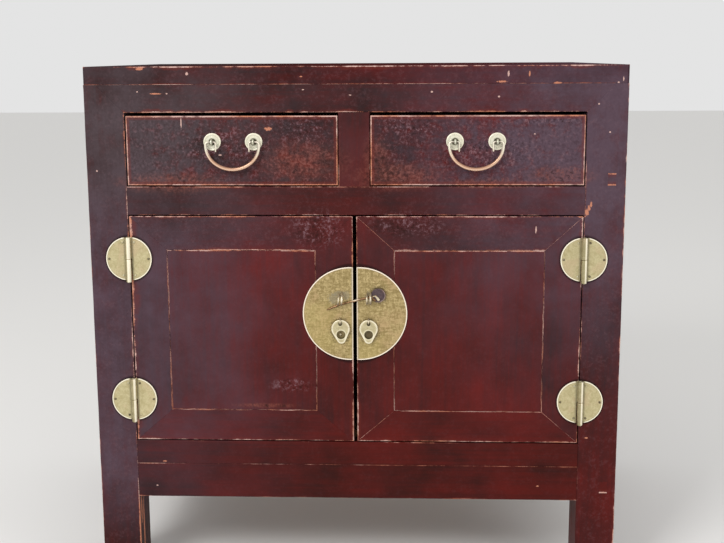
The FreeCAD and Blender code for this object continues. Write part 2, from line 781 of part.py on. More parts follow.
def hinge_pin(name, side, z):
    """A hinge's loose pin with a small round head at each end."""
    axis_x = (POST_IN + size["hinge_outside"]) * side
    low = z - size["hinge_radius"] - size["knuckle_below"] - size["clinch_gap"]
    high = z + size["hinge_radius"] + size["clinch_gap"]
    start = (axis_x, FRONT - size["hinge_stand"], low)
    shaft = rod(name + "_shaft", size["hinge_pin_radius"], high - low, start, "z")
    foot = rod(name + "_foot", size["pin_head_radius"], size["pin_head_high"],
               (start[0], start[1], low - size["pin_head_high"]), "z")
    head = rod(name + "_head", size["pin_head_radius"], size["pin_head_high"], (start[0], start[1], high), "z")
    return fused(name, [shaft, foot, head])


HINGE_HEIGHTS = {
    "upper": DOOR_BAY_TOP - size["upper_hinge_below"],
    "lower": DOOR_BAY_LOW + size["lower_hinge_above"],
}


def build_case_hinges():
    """The case halves of the four hinges, with their pins and nails."""
    leaves = []
    pins = []
    nails = []
    for side, sign in SIDES.items():
        for word, height in HINGE_HEIGHTS.items():
            leaf, leaf_nails, holes = hinge(f"{side}_{word}_case_leaf", sign, height, "case")
            leaves.append(leaf)
            nails.extend(leaf_nails)
            post_holes[side].extend(holes)
            pins.append(hinge_pin(f"{side}_{word}_hinge_pin", sign, height))
    node("case_hinge_leaves", leaves)
    node("hinge_pins", pins)
    node("case_nails", nails)


def door_planes():
    """The door's outline and its panel's opening, as distances from the middle and heights."""
    inner = size["door_middle_gap"] / 2
    outer = POST_IN - size["door_hinge_gap"]
    low = DOOR_BAY_LOW + size["door_bottom_gap"]
    high = DOOR_BAY_TOP - size["door_top_gap"]
    panel_x = (inner + size["inner_stile_wide"], outer - size["outer_stile_wide"])
    panel_z = (low + size["bottom_rail_wide"], high - size["top_rail_wide"])
    return (inner, outer), (low, high), panel_x, panel_z


def door_stile(name, sign, edge, way, wide, tools):
    """A mitred upright of a door; edge is its outer edge and way the direction to the panel."""
    _, z, _, panel_z = door_planes()
    outer = (ZERO, z[1] - z[0])
    inner = (panel_z[0] - z[0], panel_z[1] - z[0])
    thick = size["door_thick"]
    if way * sign > 0:
        turn = Rotation(Vector(1, 1, 1), 240)
        board = wedge(name + "_board", outer, inner, wide, thick, turn, (edge, FRONT, z[0]))
    else:
        turn = Rotation(Vector(1, 1, 1), 240).multiply(Rotation(Vector(1, 0, 0), 180))
        board = wedge(name + "_board", outer, inner, wide, thick, turn, (edge, FRONT + thick, z[0]))
    return cut(name + "_cut", board, tools)


def build_door(side):
    """One door: a mitred frame round a flush panel, with its brass on it."""
    sign = SIDES[side]
    name = f"{side}_door"
    (inner, outer), z, panel_x, panel_z = door_planes()
    thick = size["door_thick"]
    door_back = FRONT + thick
    deep = size["groove_deep"]
    play = size["panel_play"]
    hair = size["hairline"]
    groove_y = (FRONT + size["door_groove_set"], FRONT + size["door_groove_set"] + size["door_groove_thick"])
    tenon_y = (FRONT + size["door_tenon_set"], FRONT + size["door_tenon_set"] + size["door_tenon_thick"])
    edge = size["door_tenon_edge"]

    def groove(word):
        return block(f"{name}_groove_{word}", grown(mirrored(sign, *panel_x), deep), groove_y,
                     grown(panel_z, deep))

    tenon_z = {
        "top": (panel_z[1] + edge, z[1] - edge),
        "bottom": (z[0] + edge, panel_z[0] - edge),
    }
    tenon_x = {
        "outer": mirrored(sign, panel_x[1], outer - edge),
        "inner": mirrored(sign, inner + edge, panel_x[0]),
    }

    def tenons(word, fit, places):
        made = []
        for height, upright in places:
            spans = [grown(span, fit) for span in (tenon_x[upright], tenon_y, tenon_z[height])]
            made.append(block(f"{name}_{word}_{height}_{upright}", *spans))
        return made

    # the two rails
    long = outer - inner
    panel_long = (panel_x[0] - inner, panel_x[1] - inner) if sign > 0 else (outer - panel_x[1], outer - panel_x[0])
    left_end = mirrored(sign, inner, outer)[0]
    lay = Rotation(Vector(1, 0, 0), 90)
    boards = {
        "top": wedge(f"{name}_top_board", panel_long, (ZERO, long), z[1] - panel_z[1], thick, lay,
                     (left_end, door_back, panel_z[1])),
        "bottom": wedge(f"{name}_bottom_board", (ZERO, long), panel_long, panel_z[0] - z[0], thick, lay,
                        (left_end, door_back, z[0])),
    }
    for word, board in boards.items():
        grooved = cut(f"{name}_{word}_grooved", board, [groove(word)])
        made = tenons("tenon", ZERO, [(word, "outer"), (word, "inner")])
        node(f"{name}_rail_{word}", [fused(f"{name}_rail_{word}_whole", [grooved] + made)])

    # hinge leaves on the outer stile
    leaves = []
    nails = []
    stile_holes = []
    for word, height in HINGE_HEIGHTS.items():
        leaf, leaf_nails, holes = hinge(f"{name}_{word}_leaf", sign, height, "door")
        leaves.append(leaf)
        nails.extend(leaf_nails)
        stile_holes.extend(holes)
    tools = [groove("outer")] + tenons("outer_mortise", size["fit"], [("top", "outer"), ("bottom", "outer")])
    outer_edge = outer * sign
    node(f"{name}_stile_outer", [door_stile(f"{name}_stile_outer_wood", sign, outer_edge, -1,
                                            size["outer_stile_wide"], tools + stile_holes)])
    node(f"{name}_hinge_leaves", leaves)
    node(f"{name}_nails", nails)

    # lock plate, staples and the inner stile that they go through
    lock_y = (FRONT - size["lock_thick"], FRONT)
    lock_face = lock_y[0]
    plate = half_disc(f"{name}_lock", sign, size["lock_offset"] * sign, size["lock_edge"] * sign,
                      size["lock_radius"], LOCK_Z, lock_y)
    latch_x = size[f"{side}_latch_out"] * sign
    latch_z = LOCK_Z + size[f"{side}_latch_rise"]
    pull_x, pull_z = pull_place(side)
    latch, latch_holes = staple(f"{name}_latch_staple", latch_x, latch_z, lock_face,
                                size["latch_loop"], size["latch_wire"], size["latch_stand"], door_back)
    pull, pull_holes = staple(f"{name}_pull_staple", pull_x, pull_z, lock_face,
                              size["pull_loop"], size["pull_wire"], size["pull_stand"], door_back)
    staple_holes = latch_holes + pull_holes
    node(f"{name}_lock_plate", [cut(f"{name}_lock_plate_cut", plate, staple_holes)])
    node(f"{name}_staples", [latch, pull])
    tools = [groove("inner")] + tenons("inner_mortise", size["fit"], [("top", "inner"), ("bottom", "inner")])
    inner_edge = inner * sign
    node(f"{name}_stile_inner", [door_stile(f"{name}_stile_inner_wood", sign, inner_edge, 1,
                                            size["inner_stile_wide"], tools + staple_holes)])

    # the flush panel, rebated so that its tongue sits in the frame's groove
    tongue_y = (groove_y[0] + size["fit"], groove_y[1] - size["fit"])
    face = block(f"{name}_panel_face", grown(mirrored(sign, *panel_x), -hair), (FRONT, tongue_y[1]),
                 grown(panel_z, -hair))
    tongue = block(f"{name}_panel_tongue", grown(mirrored(sign, *panel_x), deep - play), tongue_y,
                   grown(panel_z, deep - play))
    node(f"{name}_panel", [fused(f"{name}_panel_whole", [face, tongue])])


def pull_place(side):
    """The middle of the loop that a pull hangs on: its distance along x and its height."""
    x = size[f"{side}_pull_out"] * SIDES[side]
    top = LOCK_Z - size["pull_top_below"]
    eye = top - size["pull_eye_down"]
    return x, eye + size["pull_loop"]


def build_pull(side):
    """A flat pear-shaped pull with a round finger hole and a small eye at its top."""
    x, loop_z = pull_place(side)
    body = new("PartDesign::Body", f"{side}_pull_body")
    planes = {feature.Role: feature for feature in body.Origin.OriginFeatures}
    sketch = body.newObject("Sketcher::SketchObject", f"{side}_pull_outline")
    sketch.AttachmentSupport = (planes["XZ_Plane"], [""])
    sketch.MapMode = "FlatFace"
    head_r = size["pull_head_radius"]
    foot_r = size["pull_foot_radius"]
    eye_down = size["pull_eye_down"]
    # heights in the sketch are counted from the eye, which is at the sketch's origin
    head_z = eye_down - head_r
    foot_z = eye_down - size["pull_high"] + foot_r
    hole_z = eye_down - size["pull_hole_down"]
    normal = Vector(0, 0, 1)
    lean = math.asin((head_r.value - foot_r.value) / (head_z.value - foot_z.value))

    def circle_at(height, radius):
        return Part.Circle(Vector(0, height, 0), normal, radius)

    head_arc = Part.ArcOfCircle(circle_at(head_z.value, head_r.value), -lean, math.pi + lean)
    foot_arc = Part.ArcOfCircle(circle_at(foot_z.value, foot_r.value), math.pi + lean, math.tau - lean)
    head = sketch.addGeometry(head_arc)
    foot = sketch.addGeometry(foot_arc)
    left = sketch.addGeometry(Part.LineSegment(head_arc.EndPoint, foot_arc.StartPoint))
    right = sketch.addGeometry(Part.LineSegment(foot_arc.EndPoint, head_arc.StartPoint))
    eye = sketch.addGeometry(circle_at(0, size["pull_eye_radius"].value))
    hole = sketch.addGeometry(circle_at(hole_z.value, size["pull_hole_radius"].value))
    start, end, middle = 1, 2, 3
    axis_y = -2
    add = sketch.addConstraint
    add(Sketcher.Constraint("Tangent", head, end, left, start))
    add(Sketcher.Constraint("Tangent", left, end, foot, start))
    add(Sketcher.Constraint("Tangent", foot, end, right, start))
    add(Sketcher.Constraint("Tangent", right, end, head, start))
    for piece in (head, foot, hole):
        add(Sketcher.Constraint("PointOnObject", piece, middle, axis_y))
    add(Sketcher.Constraint("Coincident", eye, middle, -1, 1))
    bound = [
        ("Radius", (head,), head_r),
        ("Radius", (foot,), foot_r),
        ("Radius", (eye,), size["pull_eye_radius"]),
        ("Radius", (hole,), size["pull_hole_radius"]),
        ("DistanceY", (head, middle, -1, 1), -head_z),
        ("DistanceY", (foot, middle, -1, 1), -foot_z),
        ("DistanceY", (hole, middle, -1, 1), -hole_z),
    ]
    for kind, where, length in bound:
        index = add(Sketcher.Constraint(kind, *where, length.value))
        sketch.setExpression(f"Constraints[{index}]", length.formula)
    pad = body.newObject("PartDesign::Pad", f"{side}_pull_pad")
    pad.Profile = sketch
    pad.setExpression("Length", size["pull_thick"].formula)
    pad.Midplane = True
    body.Tip = pad
    plane_y = FRONT - size["lock_thick"] - size["pull_stand"]
    move_to(body, x, plane_y, loop_z - size["pull_loop"])
    node(f"{side}_pull", [body])


def build_latch_pin():
    """The pin through both latch staples: it lies on the left one and slopes up to the right."""
    loose = size["latch_loop"] - size["latch_wire"] - size["latch_pin_radius"] - size["latch_rest_gap"]
    left_x = -size["left_latch_out"]
    left_z = LOCK_Z + size["left_latch_rise"] - loose
    right_x = size["right_latch_out"]
    right_z = LOCK_Z + size["right_latch_rise"] + size["latch_right_up"]
    run = right_x - left_x
    rise = right_z - left_z
    slant = hypotenuse(run, rise)
    across = run / slant
    up = rise / slant
    head_out = size["latch_wire"] + size["latch_head_gap"] + size["latch_head_radius"]
    y = FRONT - size["lock_thick"] - size["latch_stand"]
    tip = (left_x - across * size["latch_tip_long"], y, left_z - up * size["latch_tip_long"])
    head_x = right_x + across * head_out
    head_z = right_z + up * head_out
    shaft = slanting_rod("latch_shaft", size["latch_pin_radius"], tip, head_x - tip[0], head_z - tip[2])
    half = size["latch_head_thick"] / 2
    head = rod("latch_head", size["latch_head_radius"], size["latch_head_thick"], (head_x, y - half, head_z), "y")
    start = (head_x, y - half, head_z - size["latch_curl_rise"])
    curl = slanting_rod("latch_curl", size["latch_curl_radius"], start,
                        -size["latch_curl_run"], size["latch_curl_rise"])
    node("latch_pin", [fused("latch_pin_whole", [shaft, head, curl])])


def bail_shape():
    """A drawer's bail about the middle of its two eyes: a tapered rod in one upright plane.

    From a tail it rises, turns out through the eye, drops and sweeps round below to the other side.
    """
    spread = size["handle_spread"].value
    half = size["bail_half_wide"].value
    drop = size["bail_drop"].value
    big = size["bail_bottom_bend"].value
    small = size["bail_side_bend"].value
    shoulder = size["bail_shoulder_bend"].value
    bend = size["bail_tail_bend"].value
    tail_x = spread - size["bail_tail_in"].value
    tail_low = -bend - size["bail_tail_long"].value
    # the bottom arc meets each side arc where both have the same slope
    swing = math.asin((half - small) / (big - small))
    side_z = big - drop - (big - small) * math.cos(swing)

    def at(x, z):
        return Vector(x, 0, z)

    def arc_point(centre, radius, angle):
        return at(centre.x + radius * math.cos(angle), centre.z + radius * math.sin(angle))

    def arc(centre, radius, first, last):
        points = [arc_point(centre, radius, angle) for angle in (first, (first + last) / 2, last)]
        return Part.Arc(*points).toShape()

    def line(first, last):
        return Part.LineSegment(first, last).toShape()

    quarter = math.pi / 2
    left = [
        line(at(-tail_x, tail_low), at(-tail_x, -bend)),
        arc(at(-tail_x - bend, -bend), bend, 0, quarter),
        line(at(-tail_x - bend, 0), at(shoulder - half, 0)),
        arc(at(shoulder - half, -shoulder), shoulder, quarter, math.pi),
        line(at(-half, -shoulder), at(-half, side_z)),
        arc(at(small - half, side_z), small, math.pi, 3 * quarter - swing),
    ]
    bottom = [
        arc(at(0, big - drop), big, 3 * quarter - swing, 3 * quarter),
        arc(at(0, big - drop), big, 3 * quarter, 3 * quarter + swing),
    ]
    right = [
        arc(at(half - small, side_z), small, 3 * quarter + swing, 4 * quarter),
        line(at(half, side_z), at(half, -shoulder)),
        arc(at(half - shoulder, -shoulder), shoulder, 0, quarter),
        line(at(half - shoulder, 0), at(tail_x + bend, 0)),
        arc(at(tail_x + bend, -bend), bend, quarter, math.pi),
        line(at(tail_x, -bend), at(tail_x, tail_low)),
    ]
    end = size["bail_end_radius"].value
    middle = size["bail_middle_radius"].value
    across = Vector(0, 1, 0)

    def ring(point, way, radius):
        # every ring starts at the same side of the bail, so that the skin has no twist
        wire = Part.Wire(Part.makeCircle(radius))
        wire.Placement = FreeCAD.Placement(point, Rotation(across, Vector(), way, "ZXY"))
        return wire

    tail_left, tail_right = at(-tail_x, tail_low), at(tail_x, tail_low)
    shoulder_left, shoulder_right = at(-half, -shoulder), at(half, -shoulder)
    lowest = at(0, -drop)
    down, up, over = Vector(0, 0, -1), Vector(0, 0, 1), Vector(1, 0, 0)
    stretches = [
        (left[:4], ring(tail_left, up, end), ring(shoulder_left, down, end)),
        (left[4:] + bottom[:1], ring(shoulder_left, down, end), ring(lowest, over, middle)),
        (bottom[1:] + right[:2], ring(lowest, over, middle), ring(shoulder_right, up, end)),
        (right[2:], ring(shoulder_right, up, end), ring(tail_right, down, end)),
    ]
    solids = [Part.Wire(edges).makePipeShell([first, last], True, False) for edges, first, last in stretches]
    return solids[0].multiFuse(solids[1:]).removeSplitter()


def build_drawer(side):
    """One drawer: a lapped front, sides and back, a bottom in grooves, and its handle."""
    sign = SIDES[side]
    name = f"{side}_drawer"
    near = size["divider_wide"] / 2 + size["drawer_inner_gap"]
    far = POST_IN - size["drawer_side_gap"]
    x = mirrored(sign, near, far)
    face = FRONT + size["drawer_set"]
    front_back = face + size["drawer_front_thick"]
    end = face + size["drawer_long"]
    front_z = (DRAWER_BAY_LOW + size["drawer_bottom_gap"], DRAWER_BAY_TOP - size["drawer_top_gap"])
    low = DRAWER_BAY_LOW + size["running_gap"]
    side_top = front_z[1] - size["drawer_side_drop"]
    lap_y = (front_back - size["drawer_lap"], front_back)
    board = size["drawer_side_thick"]
    bottom_z = (low + size["drawer_groove_up"], low + size["drawer_groove_up"] + size["drawer_bottom_thick"])
    inner_x = (x[0] + board, x[1] - board)
    groove_x = grown(inner_x, size["drawer_groove_deep"])
    front_groove = (front_back - size["drawer_groove_deep"], front_back + size["overrun"])
    slot_z = grown(bottom_z, size["fit"])

    def handle_x(way):
        return size["handle_from_middle"] * sign + size["handle_spread"] * way

    handle_z = DRAWER_BAY_TOP - size["handle_below"]
    front = block(f"{name}_front_board", x, (face, front_back), front_z)
    laps = [
        block(f"{name}_lap_{word}", span, (lap_y[0], lap_y[1] + size["overrun"]),
              (low - size["overrun"], side_top))
        for word, span in (("low", (x[0] - size["overrun"], inner_x[0])),
                           ("high", (inner_x[1], x[1] + size["overrun"])))
    ]
    groove = block(f"{name}_front_groove", groove_x, front_groove, slot_z)
    shank_hole = size["shank_radius"] + size["shank_clearance"]
    holes = [rod(f"{name}_shank_hole_{way + 1}", shank_hole, size["drawer_front_thick"] + size["overrun"] * 2,
                 (handle_x(way), face - size["overrun"], handle_z), "y") for way in (-1, 1)]
    node(f"{name}_front", [cut(f"{name}_front_cut", front, laps + [groove] + holes)])

    sides = []
    for word, span in (("low", (x[0], inner_x[0])), ("high", (inner_x[1], x[1]))):
        plank = block(f"{name}_side_{word}_board", span, (lap_y[0], end), (low, side_top))
        slot = block(f"{name}_side_{word}_slot", groove_x, (lap_y[0], end + size["overrun"]), slot_z)
        sides.append(cut(f"{name}_side_{word}", plank, [slot]))
    back = block(f"{name}_back_board", inner_x, (end - board, end), (bottom_z[1], side_top))
    node(f"{name}_sides_and_back", sides + [back])
    bottom_x = grown(inner_x, size["drawer_groove_deep"] - size["panel_play"])
    node(f"{name}_bottom", [block(f"{name}_bottom_board", bottom_x,
                                  (front_groove[0] + size["panel_play"], end), bottom_z)])

    # the handle: two rosettes, two eyed posts and the bail
    rosettes = []
    posts = []
    rosette_face = face - size["rosette_thick"]
    eye_y = face - size["eye_stand"]
    for way in (-1, 1):
        centre = (handle_x(way), rosette_face, handle_z)
        disc = rod(f"{name}_rosette_disc_{way + 1}", size["rosette_radius"], size["rosette_thick"], centre, "y")
        bore = rod(f"{name}_rosette_bore_{way + 1}", shank_hole, size["rosette_thick"] + size["overrun"] * 2,
                   (centre[0], centre[1] - size["overrun"], centre[2]), "y")
        rosettes.append(cut(f"{name}_rosette_{way + 1}", disc, [bore]))
        turn = front_back + size["post_clinch_radius"] + size["clinch_gap"]
        root = eye_y + size["eye_radius"] / 2
        shank = rod(f"{name}_shank_{way + 1}", size["shank_radius"], turn - root, (centre[0], root, handle_z), "y")
        eye = rod(f"{name}_eye_{way + 1}", size["eye_radius"], size["eye_wide"],
                  (centre[0] - size["eye_wide"] / 2, eye_y, handle_z), "x")
        clinch = rod(f"{name}_post_clinch_{way + 1}", size["post_clinch_radius"], size["post_clinch_long"],
                     (centre[0], turn, handle_z - size["post_clinch_long"] / 2), "z")
        eye_bore = rod(f"{name}_eye_bore_{way + 1}", size["bail_end_radius"] + size["bail_clearance"],
                       size["eye_wide"] + size["overrun"] * 2,
                       (centre[0] - size["eye_wide"] / 2 - size["overrun"], eye_y, handle_z), "x")
        joined = fused(f"{name}_post_joined_{way + 1}", [shank, eye, clinch])
        posts.append(cut(f"{name}_post_{way + 1}", joined, [eye_bore]))
    node(f"{name}_rosettes", rosettes)
    node(f"{name}_handle_posts", posts)
    bail = new("Part::Feature", f"{name}_bail")
    bail.Shape = bail_shape()
    move_to(bail, size["handle_from_middle"] * sign, eye_y, handle_z)
    node(f"{name}_bail", [bail])


build_rails()
build_sides()
build_case_hinges()
build_posts()
build_top()
build_inside()
for side_name in SIDES:
    build_door(side_name)
    build_pull(side_name)
    build_drawer(side_name)
build_latch_pin()

doc.recompute()
for thing in doc.Objects:
    if "Invalid" in thing.State or "Error" in thing.State:
        raise RuntimeError(f"{thing.Label} did not build: {thing.State}")
unsound = [label for label, piece in NODES.items()
           if piece.Shape.isNull() or not piece.Shape.isValid() or not piece.Shape.Solids]
if unsound:
    raise RuntimeError(f"no valid solid in {unsound}")
for label, piece in NODES.items():
    piece.Shape.exportStep(f"parts/{label}.step")
print(f"{len(NODES)} sub-parts written")
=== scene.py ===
"""Looks of a low lacquered cabinet with two drawers over two doors and round brass hardware.

Every shape is worked out in millimetres in the cabinet's own frame: x to the right, y to the back,
z up, with the floor at zero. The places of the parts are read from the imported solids.
"""

import json
import logging
import math
from dataclasses import dataclass
from enum import Enum
from typing import Iterable, Sequence

import bpy
import numpy as np
from mathutils import Matrix, Vector

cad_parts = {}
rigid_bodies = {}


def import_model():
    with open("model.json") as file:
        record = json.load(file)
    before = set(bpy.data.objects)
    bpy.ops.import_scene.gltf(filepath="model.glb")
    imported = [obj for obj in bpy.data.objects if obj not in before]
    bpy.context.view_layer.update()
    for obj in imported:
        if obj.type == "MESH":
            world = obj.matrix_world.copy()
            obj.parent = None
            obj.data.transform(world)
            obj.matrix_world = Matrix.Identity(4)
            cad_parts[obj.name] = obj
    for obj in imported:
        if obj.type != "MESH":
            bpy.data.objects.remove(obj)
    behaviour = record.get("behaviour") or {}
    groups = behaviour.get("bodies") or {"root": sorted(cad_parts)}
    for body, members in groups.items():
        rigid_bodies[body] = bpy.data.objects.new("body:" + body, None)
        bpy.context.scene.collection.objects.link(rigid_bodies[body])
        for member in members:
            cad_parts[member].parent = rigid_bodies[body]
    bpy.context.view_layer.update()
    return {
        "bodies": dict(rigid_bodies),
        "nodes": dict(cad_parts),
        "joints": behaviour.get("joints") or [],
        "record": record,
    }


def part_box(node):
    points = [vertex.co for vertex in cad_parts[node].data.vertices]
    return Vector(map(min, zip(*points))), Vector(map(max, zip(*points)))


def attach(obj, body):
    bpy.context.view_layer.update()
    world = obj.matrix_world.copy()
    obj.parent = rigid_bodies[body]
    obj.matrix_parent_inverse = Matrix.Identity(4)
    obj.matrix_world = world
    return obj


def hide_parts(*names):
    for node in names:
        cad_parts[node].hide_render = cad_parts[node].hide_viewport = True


log = logging.getLogger("cabinet")

Array = np.ndarray
Colour = tuple[float, float, float]
Point = tuple[float, float, float]
Tone = tuple[int, int, int]
Spots = Sequence[tuple[float, float]]
METRES = 0.001
SIDES = {"left": -1, "right": 1}
UNWORN = 1000.0
INNER = 20.0
LIGHT = 1.25
FREE = 1.7
JOINT = 0.35


def linear(red: int, green: int, blue: int) -> Colour:
    """The colour that a surface needs to be seen like this on a screen, under the studio's light.

    Args:
        red: Red from 0 to 280.
        green: Green from 0 to 280.
        blue: Blue from 0 to 280.

    Returns:
        The three linear values, at most one.
    """
    seen = np.array([red, green, blue]) / 255.0
    light = np.where(seen <= 0.04045, seen / 12.92, ((seen + 0.055) / 1.055) ** 2.4)
    return tuple(float(value) for value in np.minimum(light / LIGHT, 1.0))


# Surfaces


class Face(Enum):
    """Which way a flat piece looks: the axes of its outline, and the way into it."""

    FRONT = ((1, 0, 0), (0, 0, 1), (0, 1, 0))
    BACK = ((1, 0, 0), (0, 0, 1), (0, -1, 0))
    LEFT = ((0, 1, 0), (0, 0, 1), (1, 0, 0))
    RIGHT = ((0, 1, 0), (0, 0, 1), (-1, 0, 0))
    UP = ((1, 0, 0), (0, 1, 0), (0, 0, -1))

    def place(self, across: Array, up: Array, inwards: Array, level: float = 0.0) -> Array:
        """Points from outline places and depths under the face's level, or directions at level zero."""
        first, second, third = (np.array(axis, float) for axis in self.value)
        lift = np.abs(third) * level
        return across[..., None] * first + up[..., None] * second + inwards[..., None] * third + lift


@dataclass
class Surface:
    """Points, faces and per-point data of a closed shape, in millimetres."""

    points: Array
    faces: list[Sequence[int]]
    normals: Array | None = None
    near: Array | None = None
    far: Array | None = None
    grain: Array | None = None
    soil: Array | None = None

    def outward(self) -> "Surface":
        """The same shape with its faces turned outwards, which its signed volume tells."""
        volume = 0.0
        for face in self.faces:
            ring = self.points[np.asarray(face)]
            volume += float((np.cross(ring[1:-1], ring[2:]) @ ring[0]).sum())
        if volume < 0:
            self.faces = [tuple(reversed(face)) for face in self.faces]
        return self

    @staticmethod
    def joined(surfaces: Iterable["Surface"]) -> "Surface":
        """Several shapes as one mesh's worth of points and faces."""
        parts = list(surfaces)
        starts = np.cumsum([0] + [len(part.points) for part in parts[:-1]])
        faces = [tuple(int(start) + int(index) for index in face)
                 for part, start in zip(parts, starts) for face in part.faces]

        def stacked(name: str, empty: float = 0.0) -> Array | None:
            """One kind of per-point data of all the parts, where any of them has it."""
            values = [getattr(part, name) for part in parts]
            if all(value is None for value in values):
                return None
            return np.concatenate([np.full_like(part.points, empty) if value is None else value
                                   for part, value in zip(parts, values)])

        return Surface(np.concatenate([part.points for part in parts]), faces, stacked("normals"),
                       stacked("near", INNER), stacked("far", INNER), stacked("grain"), stacked("soil"))


def ring_faces(rings: int, count: int, capped: bool = False) -> list[tuple[int, ...]]:
    """Four-sided faces between neighbouring closed rings of points.

    Args:
        rings: Number of rings.
        count: Points in each ring.
        capped: Whether the first and the last ring are filled with a flat face.

    Returns:
        The faces' point indices.
    """
    row, column = np.meshgrid(np.arange(rings - 1), np.arange(count), indexing="ij")
    after = (column + 1) % count
    corners = np.stack([row * count + column, row * count + after,
                        (row + 1) * count + after, (row + 1) * count + column], axis=-1)
    faces = [tuple(face) for face in corners.reshape(-1, 4).tolist()]
    if capped:
        faces += [tuple(range(count - 1, -1, -1)), tuple(range((rings - 1) * count, rings * count))]
    return faces


def closed_rings(rings: Array) -> Surface:
    """Closes a stack of rings with a pole at each end.

    Args:
        rings: Points of shape (rings, points per ring, 3). Each pole is the middle of the ring beside it.

    Returns:
        The closed surface.
    """
    count, around = rings.shape[:2]
    points = np.concatenate([rings.reshape(-1, 3), rings[:1].mean(axis=1), rings[-1:].mean(axis=1)])
    first, last = count * around, count * around + 1
    turn = np.arange(around)
    after = (turn + 1) % around
    low = np.stack([after, turn, np.full(around, first)], axis=1)
    top = (count - 1) * around
    high = np.stack([turn + top, after + top, np.full(around, last)], axis=1)
    caps = [tuple(face) for face in low.tolist() + high.tolist()]
    return Surface(points, ring_faces(count, around) + caps).outward()


def soiled_and_shaded(surface: Surface, amount: Array, warm: Array | float = 0.0) -> Surface:
    """Gives each point its state, from -1 for bright, where rubbed and where a highlight is painted, to 1 for
    dark, where dirty and where shade is painted, and its share of the warm tone.
    """
    state = np.clip(amount, -1.0, 1.0)
    surface.soil = np.stack([state, np.broadcast_to(warm, state.shape), np.zeros_like(state)], axis=1)
    return surface


def bell(distance: Array, width: float, power: int = 2) -> Array:
    """A smooth hump: one where the distance is nothing, falling to nothing past the width."""
    return np.exp(-(distance / width) ** power)


def waves(places: Array, rng: np.random.Generator, longest: float) -> Array:
    """A smooth uneven line between -1 and 1: five sine waves of falling length and strength."""
    total = np.zeros_like(places)
    for step in range(5):
        strength = 0.6 ** step
        phase = rng.uniform(0, 2 * math.pi)
        total += strength * np.sin(2 * math.pi * places * (1.7 ** step) / longest + phase)
    return total / 2.2


def side_ways(spots: Array) -> tuple[Array, Array, Array]:
    """The direction, the length and the way inwards of each side of an anticlockwise outline."""
    along = np.roll(spots, -1, axis=0) - spots
    length = np.linalg.norm(along, axis=1)
    along = along / length[:, None]
    return along, length, np.stack([-along[:, 1], along[:, 0]], axis=1)


